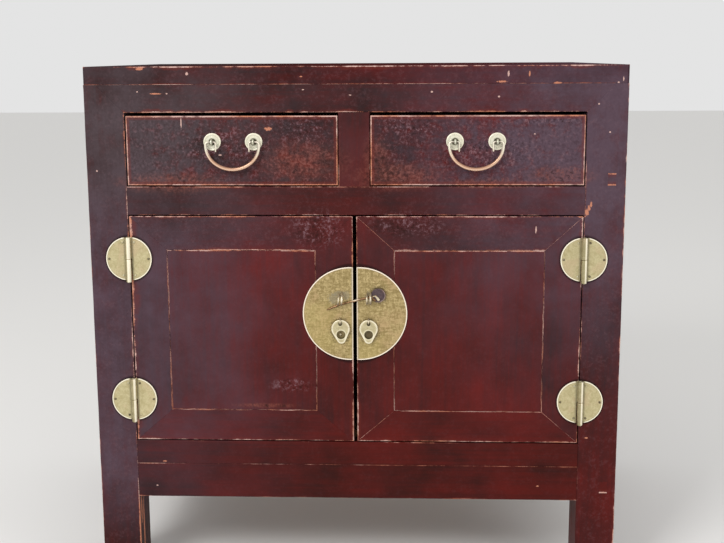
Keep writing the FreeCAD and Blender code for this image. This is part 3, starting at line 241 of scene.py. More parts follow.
@dataclass
class Board:
    """A plank: a convex outline with rounded corners carried through its thickness.

    Each ring of the surface is the outline moved inwards: by the edge rounding at the two faces,
    falling along a quarter circle to nothing on the sides.
    """

    corners: Spots
    level: float
    thick: float
    face: Face = Face.FRONT
    edges: Sequence[float] = (1.2, 1.2, 1.2, 1.2)
    worn: Sequence[float] = (1.0, 1.0, 1.0, 1.0)
    back_worn: float = 1.0
    back_round: float = 0.8
    pairs: tuple[int, int, int, int] = (0, 1, 2, 3)
    corner: float = 0.5
    grain_up: bool = False
    seed: int = 0

    def outline(self) -> tuple[Array, Array, Array]:
        """The rounded outline.

        Returns:
            Its points, their inward directions and the edge rounding at each.
        """
        rng = np.random.default_rng(self.seed)
        spots = np.asarray(self.corners, float)
        along, length, inward = side_ways(spots)
        before = np.roll(inward, 1, axis=0)
        cosine = np.einsum("ij,ij->i", before, inward)
        trim = self.corner * np.sqrt((1 - cosine) / (1 + cosine))
        points, ways, rounds = [], [], []
        for index in range(len(spots)):
            centre = spots[index] + self.corner * (before[index] + inward[index]) / (1 + cosine[index])
            share = np.linspace(0, 1, 4)[1:-1, None]
            way = (1 - share) * before[index] + share * inward[index]
            way = way / np.linalg.norm(way, axis=1)[:, None]
            points.append(centre - self.corner * way)
            ways.append(way)
            rounds.append(np.full(len(way), min(self.edges[index - 1], self.edges[index], self.corner)))
            first, last = trim[index], length[index] - trim[(index + 1) % len(spots)]
            near = np.array([0.0, 0.6, 1.5, 3.0, 6.0])
            middle = np.arange(first + 12.0, last - 12.0, 9.0)
            place = np.unique(np.concatenate([first + near, middle, last - near]))
            place = place[(place >= first) & (place <= last)]
            points.append(spots[index] + along[index] * place[:, None])
            ways.append(np.repeat(inward[index:index + 1], len(place), axis=0))
            uneven = self.edges[index] * (1 + 0.35 * waves(place, rng, 170.0))
            ends = np.minimum(place - first, last - place)
            rounds.append(np.minimum(uneven, min(self.edges[index], self.corner) + 0.4 * ends))
        return np.concatenate(points), np.concatenate(ways), np.concatenate(rounds)

    def surface(self) -> Surface:
        """The plank's closed surface, with its distances to its edges and its grain."""
        outline, way, rounding = self.outline()
        quarter = np.linspace(math.pi / 2, 0, 5)
        back = np.minimum(rounding, self.back_round)[None, :]
        inset = np.concatenate([rounding[None, :] * (1 - np.cos(quarter))[:, None],
                                back * (1 - np.cos(quarter[::-2]))[:, None]])
        down = np.concatenate([rounding[None, :] * (1 - np.sin(quarter))[:, None],
                               self.thick - back * (1 - np.sin(quarter[::-2]))[:, None]])
        tilt = np.concatenate([quarter, -quarter[::-2]])
        flat = outline[None] + way[None] * inset[..., None]
        points = self.face.place(flat[..., 0], flat[..., 1], down, self.level)
        out = -way[None] * np.cos(tilt)[:, None, None]
        lift = np.broadcast_to(-np.sin(tilt)[:, None], down.shape)
        normals = self.face.place(out[..., 0], out[..., 1], lift)
        near, far = self.distances(flat, down)
        lengthwise = (flat[..., 1], flat[..., 0]) if self.grain_up else (flat[..., 0], flat[..., 1])
        grain = np.stack([*lengthwise, down], axis=-1)
        data = (values.reshape(-1, 3) for values in (normals, near, far, grain))
        return Surface(points.reshape(-1, 3), ring_faces(*down.shape, capped=True), *data).outward()

    def distances(self, flat: Array, down: Array) -> tuple[Array, Array]:
        """How far each point is from the plank's sides and faces; joints count as far away.

        Args:
            flat: Outline places of the points.
            down: Their depths under the face.

        Returns:
            Distances to the lower, right and front planes, and to the upper, left and back planes.
        """
        spots = np.asarray(self.corners, float)
        inward = side_ways(spots)[2]
        away = []
        for side in self.pairs:
            distance = (flat - spots[side]) @ inward[side]
            away.append(distance / self.worn[side] if self.worn[side] else distance + UNWORN)
        behind = (self.thick - down) / self.back_worn
        return np.stack([away[0], away[1], down], axis=-1), np.stack([away[2], away[3], behind], axis=-1)


def plain_board(corners: Spots, level: float, thick: float, face: Face, rounding: float = 0.5,
                **more) -> Board:
    """A board with one small rounding on all its edges, and none of them worn.

    Args:
        corners: Its outline.
        level: The plane of its face.
        thick: Its thickness.
        face: Which way it looks.
        rounding: The rounding of its edges.
        **more: Other fields of a board.

    Returns:
        The board.
    """
    return Board(corners, level, thick, face, edges=[rounding] * 4, worn=[0.0] * 4, **more)


def rectangle(low: float, high: float, bottom: float, top: float) -> Spots:
    """A rectangle's corners, anticlockwise from the lower left."""
    return [(low, bottom), (high, bottom), (high, top), (low, top)]


def flipped(corners: Spots) -> Spots:
    """An outline mirrored left to right, again anticlockwise, its first side still the first."""
    mirrored = [(-x, z) for x, z in corners]
    return [mirrored[1], mirrored[0]] + mirrored[:1:-1]


def turned_back(sides: Sequence[float]) -> list[float]:
    """The values of an outline's sides in the order that they have on the mirrored outline."""
    return [sides[0], *reversed(sides[1:])]


def lathe(profile: Spots, centre: Point, axis: Point, around: int = 40) -> Surface:
    """A profile of (radius, height) turned round an axis through a centre.

    Args:
        profile: Radii and heights along the axis.
        centre: Where height zero is.
        axis: Direction of growing height, along one of the frame's axes.
        around: Points round the axis.

    Returns:
        The closed surface, with a pole at each end.
    """
    up = np.array(axis, float)
    helper = np.array([0.0, 0.0, 1.0]) if abs(up[2]) < 0.9 else np.array([1.0, 0.0, 0.0])
    first = np.cross(helper, up)
    second = np.cross(up, first)
    radius, height = np.array(profile, float).T
    angle = np.linspace(0, 2 * math.pi, around, endpoint=False)
    ring = np.cos(angle)[:, None] * first + np.sin(angle)[:, None] * second
    return closed_rings(radius[:, None, None] * ring + height[:, None, None] * up + np.array(centre, float))


def tube(path: Array, radius: Array | float, side: Point, around: int = 18, flat: float = 1.0) -> Surface:
    """A round rod along a flat path, with rounded ends.

    At each point of the path a circle stands across it, spanned by the path's fixed side direction
    and the direction at right angles to both.

    Args:
        path: Points of shape (n, 3).
        radius: One radius, or one for each point.
        side: The direction at right angles to the plane that the path lies in.
        around: Points round the rod.
        flat: Stretch along the side direction.

    Returns:
        The closed surface.
    """
    radius = np.broadcast_to(np.asarray(radius, float), (len(path),))
    way = np.gradient(path, axis=0)
    way = way / np.linalg.norm(way, axis=1)[:, None]
    turn = np.linspace(0, math.pi / 2, 5)[:-1]
    head = path[0] - way[0] * radius[0] * np.cos(turn)[:, None]
    tail = path[-1] + way[-1] * radius[-1] * np.cos(turn)[::-1, None]
    spots = np.concatenate([head[1:], path, tail[:-1]])
    ways = np.concatenate([np.repeat(way[:1], 3, 0), way, np.repeat(way[-1:], 3, 0)])
    sizes = np.concatenate([radius[0] * np.sin(turn[1:]), radius, radius[-1] * np.sin(turn[:0:-1])])
    across = np.array(side, float)
    angle = np.linspace(0, 2 * math.pi, around, endpoint=False)
    ring = (np.cos(angle)[None, :, None] * across * flat
            + np.sin(angle)[None, :, None] * np.cross(ways, across)[:, None])
    surface = closed_rings(spots[:, None] + sizes[:, None, None] * ring)
    surface.points[-2:] = head[0], tail[-1]
    return surface


def on_front(flat: Array, level: float) -> Array:
    """A flat path of (across, up) as points at one level along y."""
    return np.stack([flat[:, 0], np.full(len(flat), level), flat[:, 1]], axis=1)


def arc(centre: tuple[float, float], radius: float, first: float, last: float, count: int = 12) -> Array:
    """Points of an arc in a plane, from one angle to another in degrees."""
    angle = np.radians(np.linspace(first, last, count))
    return np.stack([centre[0] + radius * np.cos(angle), centre[1] + radius * np.sin(angle)], axis=1)


def smooth_path(points: Array, step: float) -> Array:
    """A path with its points spread evenly along it."""
    gaps = np.linalg.norm(np.diff(points, axis=0), axis=1)
    points = points[np.concatenate([[True], gaps > 1e-6])]
    place = np.concatenate([[0], np.cumsum(gaps[gaps > 1e-6])])
    even = np.linspace(0, place[-1], max(int(place[-1] / step), 4))
    return np.stack([np.interp(even, place, column) for column in points.T], axis=1)


@dataclass
class Plate:
    """A thin metal plate: an outline with an upset rim round a flat face.

    Each ring of the surface is the outline moved inwards, from the back edge over the rim.
    """

    outline: Array
    level: float
    thick: float
    rim_high: float
    rim_wide: float

    def surface(self) -> Surface:
        """The plate's closed surface; near holds how far in each point is, in widths of the rim."""
        after = side_ways(self.outline)[2]
        before = np.roll(after, 1, axis=0)
        inward = (before + after) / (1 + np.einsum("ij,ij->i", before, after))[:, None]
        rim = np.array([(0.0, 0.4), (0.12, 0.85), (0.35, 1.0), (0.65, 0.8), (0.9, 0.2), (1.1, 0.0)])
        rim = rim * (self.rim_wide, self.rim_high) + (0.0, self.thick)
        profile = np.concatenate([[(0.3, 0.0), (0.0, 0.2)], rim])
        flat = self.outline[None] + inward[None] * profile[:, :1, None]
        height = np.broadcast_to(profile[:, 1:], flat.shape[:2])
        points = Face.FRONT.place(flat[..., 0], flat[..., 1], -height, self.level).reshape(-1, 3)
        reach = np.broadcast_to(profile[:, :1] / self.rim_wide, height.shape).reshape(-1, 1)
        near = np.repeat(reach, 3, axis=1)
        return Surface(points, ring_faces(*height.shape, capped=True), near=near, far=near).outward()


def half_disc(centre: float, edge: float, radius: float, way: int, around: int) -> Array:
    """The outline, anticlockwise, of the part of a disc outside an upright edge.

    Args:
        centre: The disc's middle along x.
        edge: Where its straight edge is along x.
        radius: The disc's radius.
        way: One for the right part, minus one for the left part.
        around: Points along the arc.

    Returns:
        Points about a middle height of zero.
    """
    swing = math.degrees(math.acos((edge - centre) * way / radius))
    middle = 0.0 if way > 0 else 180.0
    return arc((centre, 0.0), radius, middle - swing, middle + swing, around)


# Shader building


class Value:
    """A socket that takes sums, differences and products with numbers and with other sockets."""

    def __init__(self, graph: "Graph", socket: bpy.types.NodeSocket) -> None:
        """Keeps the socket and the graph that it belongs to."""
        self.graph, self.socket = graph, socket

    def __add__(self, other: "Value | float") -> "Value":
        """The sum of both."""
        return self.graph.math("ADD", self, other)

    def __sub__(self, other: "Value | float") -> "Value":
        """This one less the other."""
        return self.graph.math("SUBTRACT", self, other)

    def __rsub__(self, other: float) -> "Value":
        """A number less this one."""
        return self.graph.math("SUBTRACT", other, self)

    def __mul__(self, other: "Value | float") -> "Value":
        """The product of both."""
        return self.graph.math("MULTIPLY", self, other)

    def either(self, other: "Value | float") -> "Value":
        """The greater of both."""
        return self.graph.math("MAXIMUM", self, other)

    def least(self, other: "Value | float") -> "Value":
        """The smaller of both."""
        return self.graph.math("MINIMUM", self, other)

    def size(self) -> "Value":
        """The value without its sign."""
        return self.graph.math("ABSOLUTE", self)


class Graph:
    """Adds nodes to one shader tree and joins them."""

    def __init__(self, tree: bpy.types.NodeTree) -> None:
        """Starts with the tree that the nodes go into."""
        self.tree = tree

    def add(self, kind: str, inputs: dict | None = None, **settings) -> bpy.types.Node:
        """Adds a node, sets its properties and fills or joins its inputs.

        Args:
            kind: The node's type name.
            inputs: Socket names or numbers with plain values or with values to join.
            **settings: Properties of the node.

        Returns:
            The new node.
        """
        node = self.tree.nodes.new(kind)
        for name, value in settings.items():
            setattr(node, name, value)
        for name, value in (inputs or {}).items():
            self.feed(node.inputs[name], value)
        return node

    def made(self, kind: str, output: int | str, inputs: dict | None = None, **settings) -> Value:
        """Adds a node and gives one of its outputs."""
        return Value(self, self.add(kind, inputs, **settings).outputs[output])

    def feed(self, socket: bpy.types.NodeSocket, value: "Value | float | tuple") -> None:
        """Joins a socket to another one, or sets its value."""
        if isinstance(value, Value):
            self.tree.links.new(value.socket, socket)
        elif isinstance(value, tuple) and socket.type == "RGBA":
            socket.default_value = (*value, 1.0)
        else:
            socket.default_value = value

    def math(self, operation: str, first: Value | float, second: Value | float = 0.0,
             clamp: bool = False) -> Value:
        """A calculation with one or two values."""
        return self.made("ShaderNodeMath", 0, {0: first, 1: second}, operation=operation, use_clamp=clamp)

    def vector(self, operation: str, first: Value, second: Value | Point = (0.0, 0.0, 0.0)) -> Value:
        """A calculation with one or two vectors."""
        output = "Value" if operation in ("LENGTH", "DISTANCE") else "Vector"
        return self.made("ShaderNodeVectorMath", output, {0: first, 1: second}, operation=operation)

    def mix(self, share: Value, first: Value | Colour, second: Value | Colour) -> Value:
        """A colour between two colours."""
        return self.made("ShaderNodeMix", 2, {0: share, 6: first, 7: second}, data_type="RGBA")

    def step(self, value: Value, low: float, high: float) -> Value:
        """A smooth step: nothing at low and one at high, which may be the smaller of the two."""
        inputs = {"Value": value, "From Min": low, "From Max": high}
        return self.made("ShaderNodeMapRange", "Result", inputs, interpolation_type="SMOOTHSTEP")

    def noise(self, where: Value, scale: Value | float, detail: float = 3.0, rough: float = 0.55,
              bend: float = 0.0) -> Value:
        """Cloudy noise around a half."""
        inputs = {"Vector": where, "Scale": scale, "Detail": detail, "Roughness": rough, "Distortion": bend}
        return self.made("ShaderNodeTexNoise", 0, inputs)

    def stretched(self, where: Value, by: Point) -> Value:
        """Coordinates multiplied along each axis."""
        return self.vector("MULTIPLY", where, by)

    def position(self) -> Value:
        """The place on the piece in the shared frame, in metres."""
        return self.made("ShaderNodeTexCoord", "Object")

    def attribute(self, name: str) -> Value:
        """A vector that the mesh carries."""
        return self.made("ShaderNodeAttribute", "Vector", attribute_name=name)

    def parts(self, vector: Value) -> list[Value]:
        """A vector's three numbers."""
        return [Value(self, socket) for socket in self.add("ShaderNodeSeparateXYZ", {0: vector}).outputs]

    def group(self, tree: bpy.types.NodeTree, *inputs: Value | Point | float) -> list[Value]:
        """Places a node group with its own inputs, in their order, and gives its outputs."""
        node = self.add("ShaderNodeGroup", dict(enumerate(inputs)), node_tree=tree)
        return [Value(self, socket) for socket in node.outputs]

    def spot(self, kind: bpy.types.NodeTree, position: Value, place: Point, half: Point) -> Value:
        """A mask from a group that draws one spot at a place, of half sizes in millimetres."""
        place, half = (tuple(number * METRES for number in point) for point in (place, half))
        return self.group(kind, position, place, half)[0]

    def bump(self, shader: bpy.types.Node, height: Value, strength: float, depth: float) -> None:
        """Lets a height field roughen a shader's surface."""
        inputs = {"Height": height, "Strength": strength, "Distance": depth}
        self.feed(shader.inputs["Normal"], self.made("ShaderNodeBump", 0, inputs))


class Group(Graph):
    """A shader node group in the making, with its inputs in their order."""

    def __init__(self, name: str, vectors: str, numbers: str, results: str) -> None:
        """Starts the group; the names of its inputs and outputs are parted by spaces."""
        super().__init__(bpy.data.node_groups.new(name, "ShaderNodeTree"))
        sockets = [(word, "INPUT", "NodeSocketVector") for word in vectors.split()]
        sockets += [(word, "INPUT", "NodeSocketFloat") for word in numbers.split()]
        sockets += [(word, "OUTPUT", "NodeSocketFloat") for word in results.split()]
        for word, way, kind in sockets:
            self.tree.interface.new_socket(word, in_out=way, socket_type=kind)
        entry = self.add("NodeGroupInput")
        self.given = [Value(self, entry.outputs[word]) for word, way, _ in sockets if way == "INPUT"]
        self.leave = self.add("NodeGroupOutput")

    def finish(self, *results: Value) -> bpy.types.NodeTree:
        """Joins the results to the group's outputs, in their order."""
        for number, result in enumerate(results):
            self.feed(self.leave.inputs[number], result)
        return self.tree


class Effects:
    """Node groups that several finishes share, each built once."""

    def __init__(self) -> None:
        """Builds the groups."""
        self.edge = self.edge_distance()
        self.rubbed = self.rubbed_edge()
        self.cloud = self.cloud_field()
        self.streaks = self.grain_streaks()
        self.chip = self.spot_shape("ragged chip", (1.05, 0.75), 2.2)
        self.area = self.spot_shape("soft area", (1.15, 0.3), 0.0)

    @staticmethod
    def edge_distance() -> bpy.types.NodeTree:
        """The distance to the nearest edge, in millimetres: the middle one of three distances to planes."""
        graph = Group("edge distance", "Near Far", "", "Distance")
        first, second, third = graph.parts(graph.vector("MINIMUM", *graph.given))
        return graph.finish(first.least(second).either(first.either(second).least(third)))

    @staticmethod
    def rubbed_edge() -> bpy.types.NodeTree:
        """Where edges are rubbed through: near an edge, in stretches, with a ragged border."""
        graph = Group("rubbed edge", "Position", "Distance Reach Share", "Bare Halo")
        position, distance, reach, share = graph.given
        fine_patch = graph.noise(position, 80.0, 3.0)
        blend = graph.noise(position, 14.0, 2.0) * 0.65 + fine_patch * 0.35
        width = graph.math("MULTIPLY", blend - (0.62 - share), 3.6, True) * reach
        place = distance + (graph.noise(position, 700.0, 3.0) - 0.5) * (reach * 1.1)
        uneven = graph.math("ADD", graph.step(fine_patch, 0.3, 0.62), 0.25, True)
        return graph.finish(graph.step(width - place, 0.0, 0.5) * uneven,
                            graph.step(width * 3.4 - place, 0.0, 3.4))

    @staticmethod
    def cloud_field() -> bpy.types.NodeTree:
        """Two sizes of cloud."""
        graph = Group("cloud", "Position", "Large Small", "Broad Fine")
        position, large, small = graph.given
        broad = graph.noise(position, large, 4.0, 0.6, 0.4)
        return graph.finish(broad, graph.noise(position, small, 5.0, 0.65, 0.8))

    @staticmethod
    def grain_streaks() -> bpy.types.NodeTree:
        """Long streaks and fine pores along the grain, from coordinates in millimetres."""
        graph = Group("grain streaks", "Grain", "", "Streak Pore")
        grain = graph.given[0]
        return graph.finish(graph.noise(graph.stretched(grain, (0.004, 0.16, 0.16)), 1.0, 4.0, 0.6, 0.6),
                            graph.noise(graph.stretched(grain, (0.03, 1.4, 1.4)), 1.0, 3.0, 0.7))

    @staticmethod
    def spot_shape(name: str, fade: tuple[float, float], ragged: float) -> bpy.types.NodeTree:
        """A spot about a place, of a half size along each axis.

        Args:
            name: The group's name.
            fade: How far out, in half sizes, the spot ends and where it is full.
            ragged: How much noise moves its border.

        Returns:
            The group.
        """
        graph = Group(name, "Position Place Size", "", "Spot")
        position, place, size = graph.given
        away = graph.vector("SUBTRACT", position, place)
        reach = graph.vector("LENGTH", graph.vector("DIVIDE", away, size))
        if ragged:
            reach = reach + (graph.noise(position, 420.0, 4.0, 0.7) - 0.5) * ragged
        return graph.finish(graph.step(reach, *fade))


def new_material(name: str) -> tuple[bpy.types.Material, Graph, bpy.types.Node]:
    """An empty material with its principled shader joined to its output."""
    material = bpy.data.materials.new(name)
    material.use_nodes = True
    material.node_tree.nodes.clear()
    graph = Graph(material.node_tree)
    shader = graph.add("ShaderNodeBsdfPrincipled")
    graph.add("ShaderNodeOutputMaterial", {"Surface": Value(graph, shader.outputs[0])})
    return material, graph, shader


@dataclass(frozen=True)
class Chip:
    """A spot on the front: its place, its half sizes and its depth behind the front, in millimetres."""

    x: float
    z: float
    wide: float
    high: float
    behind: float = 0.0


def chips(*rows: tuple[float, ...]) -> tuple[Chip, ...]:
    """Spots from rows of their numbers."""
    return tuple(Chip(*row) for row in rows)


KNOCKS = chips(
    (-311, -42.3, 9.0, 1.3), (-82, -16.4, 2.4, 1.2), (-335, -3.5, 6.0, 2.2), (230.1, -25.3, 8.0, 1.6),
    (314.5, -27.5, 6.5, 1.7), (371.5, -217, 1.7, 5.0), (368.5, -223, 2.4, 5.0), (365.2, -230, 3.0, 5.5),
    (357, -236.5, 6.5, 1.6), (374.9, -601, 2.6, 1.4), (298.6, -685, 2.6, 1.2), (-316.9, -647.4, 4.0, 1.2),
    (-134.7, -97.7, 6.0, 3.0), (271.6, -13.2, 1.4, 4.0), (-361.6, -765, 2.0, 62), (-362, -770, 4.0, 56, 24),
    (-362, -735, 4.0, 30, 12),
)
NICKS = chips(
    (-339.6, -39.0, 1.4, 1.2), (-293, -42.2, 1.6, 1.0), (-79, -36.6, 1.8, 0.9), (-5.7, -45.2, 2.0, 0.9),
    (-408.6, -163.7, 1.5, 1.5), (397.2, -103.6, 1.6, 1.4), (379, -60.0, 1.5, 1.5), (408, -27.2, 1.6, 1.3),
    (415.5, -21.5, 1.0, 4.0), (239.5, -13.1, 1.5, 5.0), (-211.5, -138.5, 2.6, 1.4), (-272, -88, 1.0, 9.0),
    (281.7, -106.4, 1.6, 1.0), (-331.5, -690, 2.0, 1.0), (225.1, -48.3, 1.7, 1.5), (121.1, -40.7, 1.9, 1.3),
    (-260.3, -11, 2.4, 2.4), (286.6, -257.8, 1.4, 6.0), (424.5, -145, 2.0, 5.0),
)
THINNED = chips(
    (-80, -150, 84, 40), (-290, -182, 96, 20), (70, -172, 84, 26), (36, -145, 26, 40), (213, -184, 90, 10),
    (322, -172, 66, 18), (-148, -550, 60, 5), (72, -187, 80, 6),
)
SCUFFED = chips(
    (-203, -128, 110, 48), (-84, -100, 66, 28), (88, -92, 66, 30), (215, -135, 110, 40), (300, -86, 90, 10),
    (-58, -256, 54, 36), (84, -250, 70, 24), (-103, -515, 42, 14),
)


@dataclass(frozen=True)
class Lacquer:
    """Old oxblood lacquer, cloudy, with a painted sheen and a painted shadow round the brass, rubbed through
    to pale wood along its edges.
    """

    name: str = "oxblood_lacquer"
    deep: Colour = linear(44, 22, 18)
    red: Colour = linear(108, 27, 20)
    sheen_tone: Colour = linear(92, 73, 84)
    left_sheen_tone: Colour = linear(81, 68, 72)
    scuff: Colour = linear(156, 124, 132)
    warm: Colour = linear(142, 82, 68)
    undercoat: Colour = linear(120, 48, 38)
    bare: Colour = linear(214, 142, 112)
    pale: Colour = linear(230, 190, 178)
    dirt_and_shade: Colour = linear(26, 14, 14)
    gloss: float = 0.066
    front: float = 0.0
    top: float = 0.0
    rings: tuple[tuple[float, float, float], ...] = ()

    def spots(self, graph: Graph, kind: bpy.types.NodeTree, position: Value, places: Sequence[Chip]) -> Value:
        """One mask of all the spots in a list, each drawn by a node group."""
        mask = 0.0
        for chip in places:
            place = (chip.x, self.front + chip.behind, self.top + chip.z)
            mask = graph.spot(kind, position, place, (chip.wide, 4.0, chip.high)).either(mask)
        return mask

    def grime_and_shade(self, graph: Graph, position: Value) -> Value:
        """A mask of the dirty, painted-shadow ring round each brass plate, on the front only."""
        mask = 0.0
        for x, z, radius in self.rings:
            gap = graph.vector("DISTANCE", position, (x * METRES, self.front * METRES, z * METRES))
            mask = graph.step(gap, (radius + 4.0) * METRES, radius * METRES).either(mask)
        depth = graph.parts(position)[1]
        return mask * graph.step(depth, (self.front + 4.0) * METRES, (self.front + 2.0) * METRES)

    @staticmethod
    def sheen(graph: Graph, x: Value, z: Value) -> Value:
        """How strong the painted sheen is: most at the left side and the upper right, least low in the
        middle.
        """
        left = graph.step(x, -0.02, -0.38) * graph.step(z, 0.04, 0.18) * 0.58
        right = graph.step(x, 0.0, 0.4) * graph.step(z, 0.2, 0.75) * 0.7
        return left + right + graph.step(z, 0.3, 0.8) * 0.15 + 0.07

    def material(self, effects: Effects) -> bpy.types.Material:
        """Builds the material.

        Args:
            effects: The shared node groups.

        Returns:
            The lacquer.
        """
        material, graph, shader = new_material(self.name)
        step, mix = graph.step, graph.mix
        position = graph.position()
        x, _, z = graph.parts(position)
        shift, red, painted_sheen = graph.parts(graph.attribute("mark"))
        share, reach, mottled = graph.parts(graph.attribute("wear"))
        grain = graph.attribute("grain")
        offset = graph.made("ShaderNodeCombineXYZ", 0, {0: shift, 1: shift, 2: shift})
        own = graph.vector("ADD", graph.stretched(grain, (0.0005, 0.001, 0.001)), offset)
        along = graph.vector("ADD", grain, graph.stretched(offset, (90.0, 90.0, 90.0)))
        streak, pore = graph.group(effects.streaks, along)
        mottle = graph.noise(position, 72.0, 5.0, 0.62, 0.3) - 0.5
        crackle = graph.noise(position, 210.0, 4.0, 0.7, 0.4) - 0.5
        blotch = graph.noise(graph.vector("ADD", position, (3.0, 5.0, 7.0)), 12.0, 6.0, 0.62)
        patch = graph.noise(own, 24.0, 5.0, 0.6)
        line = (streak - 0.5) * 0.55
        mixed = mottle * mottled
        broad = graph.noise(position, 3.4, 2.0) - 0.5
        clouds = broad + (graph.noise(position, 14.0, 4.0, 0.55) - 0.5) * 0.55
        # less red towards the upper left
        less_red_upper_left = step(x, -0.1, -0.4) * step(z, 0.1, 0.75) * 0.42
        redness = (patch - 0.5) * 0.9 + line + clouds + mixed * 1.3 - less_red_upper_left
        colour = mix(graph.math("ADD", redness, red, True), self.deep, self.red)
        # painted sheen: a purple-grey reflection mixed into the colour, strongest at the left side and the
        # upper right
        sheen_share = (blotch - 0.5) * 2.4 + 1.0 - line - mixed * 3.4
        sheen_share = graph.math("MULTIPLY", sheen_share, painted_sheen * self.sheen(graph, x, z), True)
        beyond = step(x, -0.3, 0.3).either(step(z, 0.74, 0.5))
        colour = mix(sheen_share, colour, mix(beyond, self.left_sheen_tone, self.sheen_tone))
        fleck = crackle + mottle * 0.6
        everywhere = self.spots(graph, effects.area, position, SCUFFED).either(mottled * 0.45)
        colour = mix(everywhere * step(fleck, 0.0, 0.2) * 0.55, colour, self.scuff)
        thinned = self.spots(graph, effects.area, position, THINNED)
        colour = mix(thinned * 0.2, colour, self.warm)
        colour = mix(thinned * step(fleck, -0.02, 0.16) * 0.42, colour, self.warm)
        colour = mix(thinned.either(everywhere) * step(fleck, -0.02, -0.17) * 0.7, colour, self.deep)
        edge = graph.group(effects.edge, graph.attribute("near"), graph.attribute("far"))[0]
        shifted = graph.vector("ADD", position, offset)
        rubbed, halo = graph.group(effects.rubbed, shifted, edge, reach, share)
        colour = mix(halo * 0.38, colour, self.undercoat)
        # darker ring round each brass plate: dirty, with painted shadow
        colour = mix(self.grime_and_shade(graph, position) * 0.7, colour, self.dirt_and_shade)
        colour = mix(rubbed * 0.88, colour, mix(step(patch, 0.4, 0.6), self.bare, self.pale))
        knocks = self.spots(graph, effects.chip, position, KNOCKS)
        nicks = self.spots(graph, effects.chip, position, NICKS)
        colour = mix(knocks * 0.85, colour, self.bare)
        graph.feed(shader.inputs["Base Color"], mix(nicks * 0.8, colour, self.pale))
        bare = rubbed.either(knocks.either(nicks))
        graph.feed(shader.inputs["Roughness"], blotch * 0.24 + 0.26 + bare * 0.3)
        matt = graph.parts(graph.attribute("soil"))[0]
        graph.feed(shader.inputs["Specular IOR Level"], (1.0 - matt) * self.gloss)
        graph.bump(shader, patch * 0.5 + pore * 0.2 - bare * 0.6, 0.3, 0.0006)
        return material


@dataclass(frozen=True)
class BareWood:
    """Planed wood with no finish, for the inside, the back and the drawers' boxes."""

    name: str = "bare_wood"
    pale: Colour = linear(176, 134, 96)
    dark: Colour = linear(128, 88, 58)
    dust: Colour = linear(96, 74, 58)
    by_place: bool = False

    def material(self, effects: Effects) -> bpy.types.Material:
        """Builds the material from the shared node groups."""
        material, graph, shader = new_material(self.name)
        position = graph.position()
        grain = graph.attribute("grain")
        if self.by_place:
            turned = {"Vector": position, "Rotation": (0.0, 0.0, math.pi / 2), "Scale": (1 / METRES,) * 3}
            grain = graph.made("ShaderNodeMapping", 0, turned)
        streak, pore = graph.group(effects.streaks, grain)
        broad = graph.group(effects.cloud, position, 4.0, 22.0)[0]
        colour = graph.mix(graph.step(streak, 0.3, 0.7), self.dark, self.pale)
        colour = graph.mix(pore * 0.35, colour, self.dark)
        colour = graph.mix(graph.step(broad, 0.45, 0.75) * 0.5, colour, self.dust)
        graph.feed(shader.inputs["Base Color"], colour)
        shader.inputs["Roughness"].default_value = 0.72
        shader.inputs["Specular IOR Level"].default_value = 0.25
        graph.bump(shader, pore, 0.35, 0.0005)
        return material


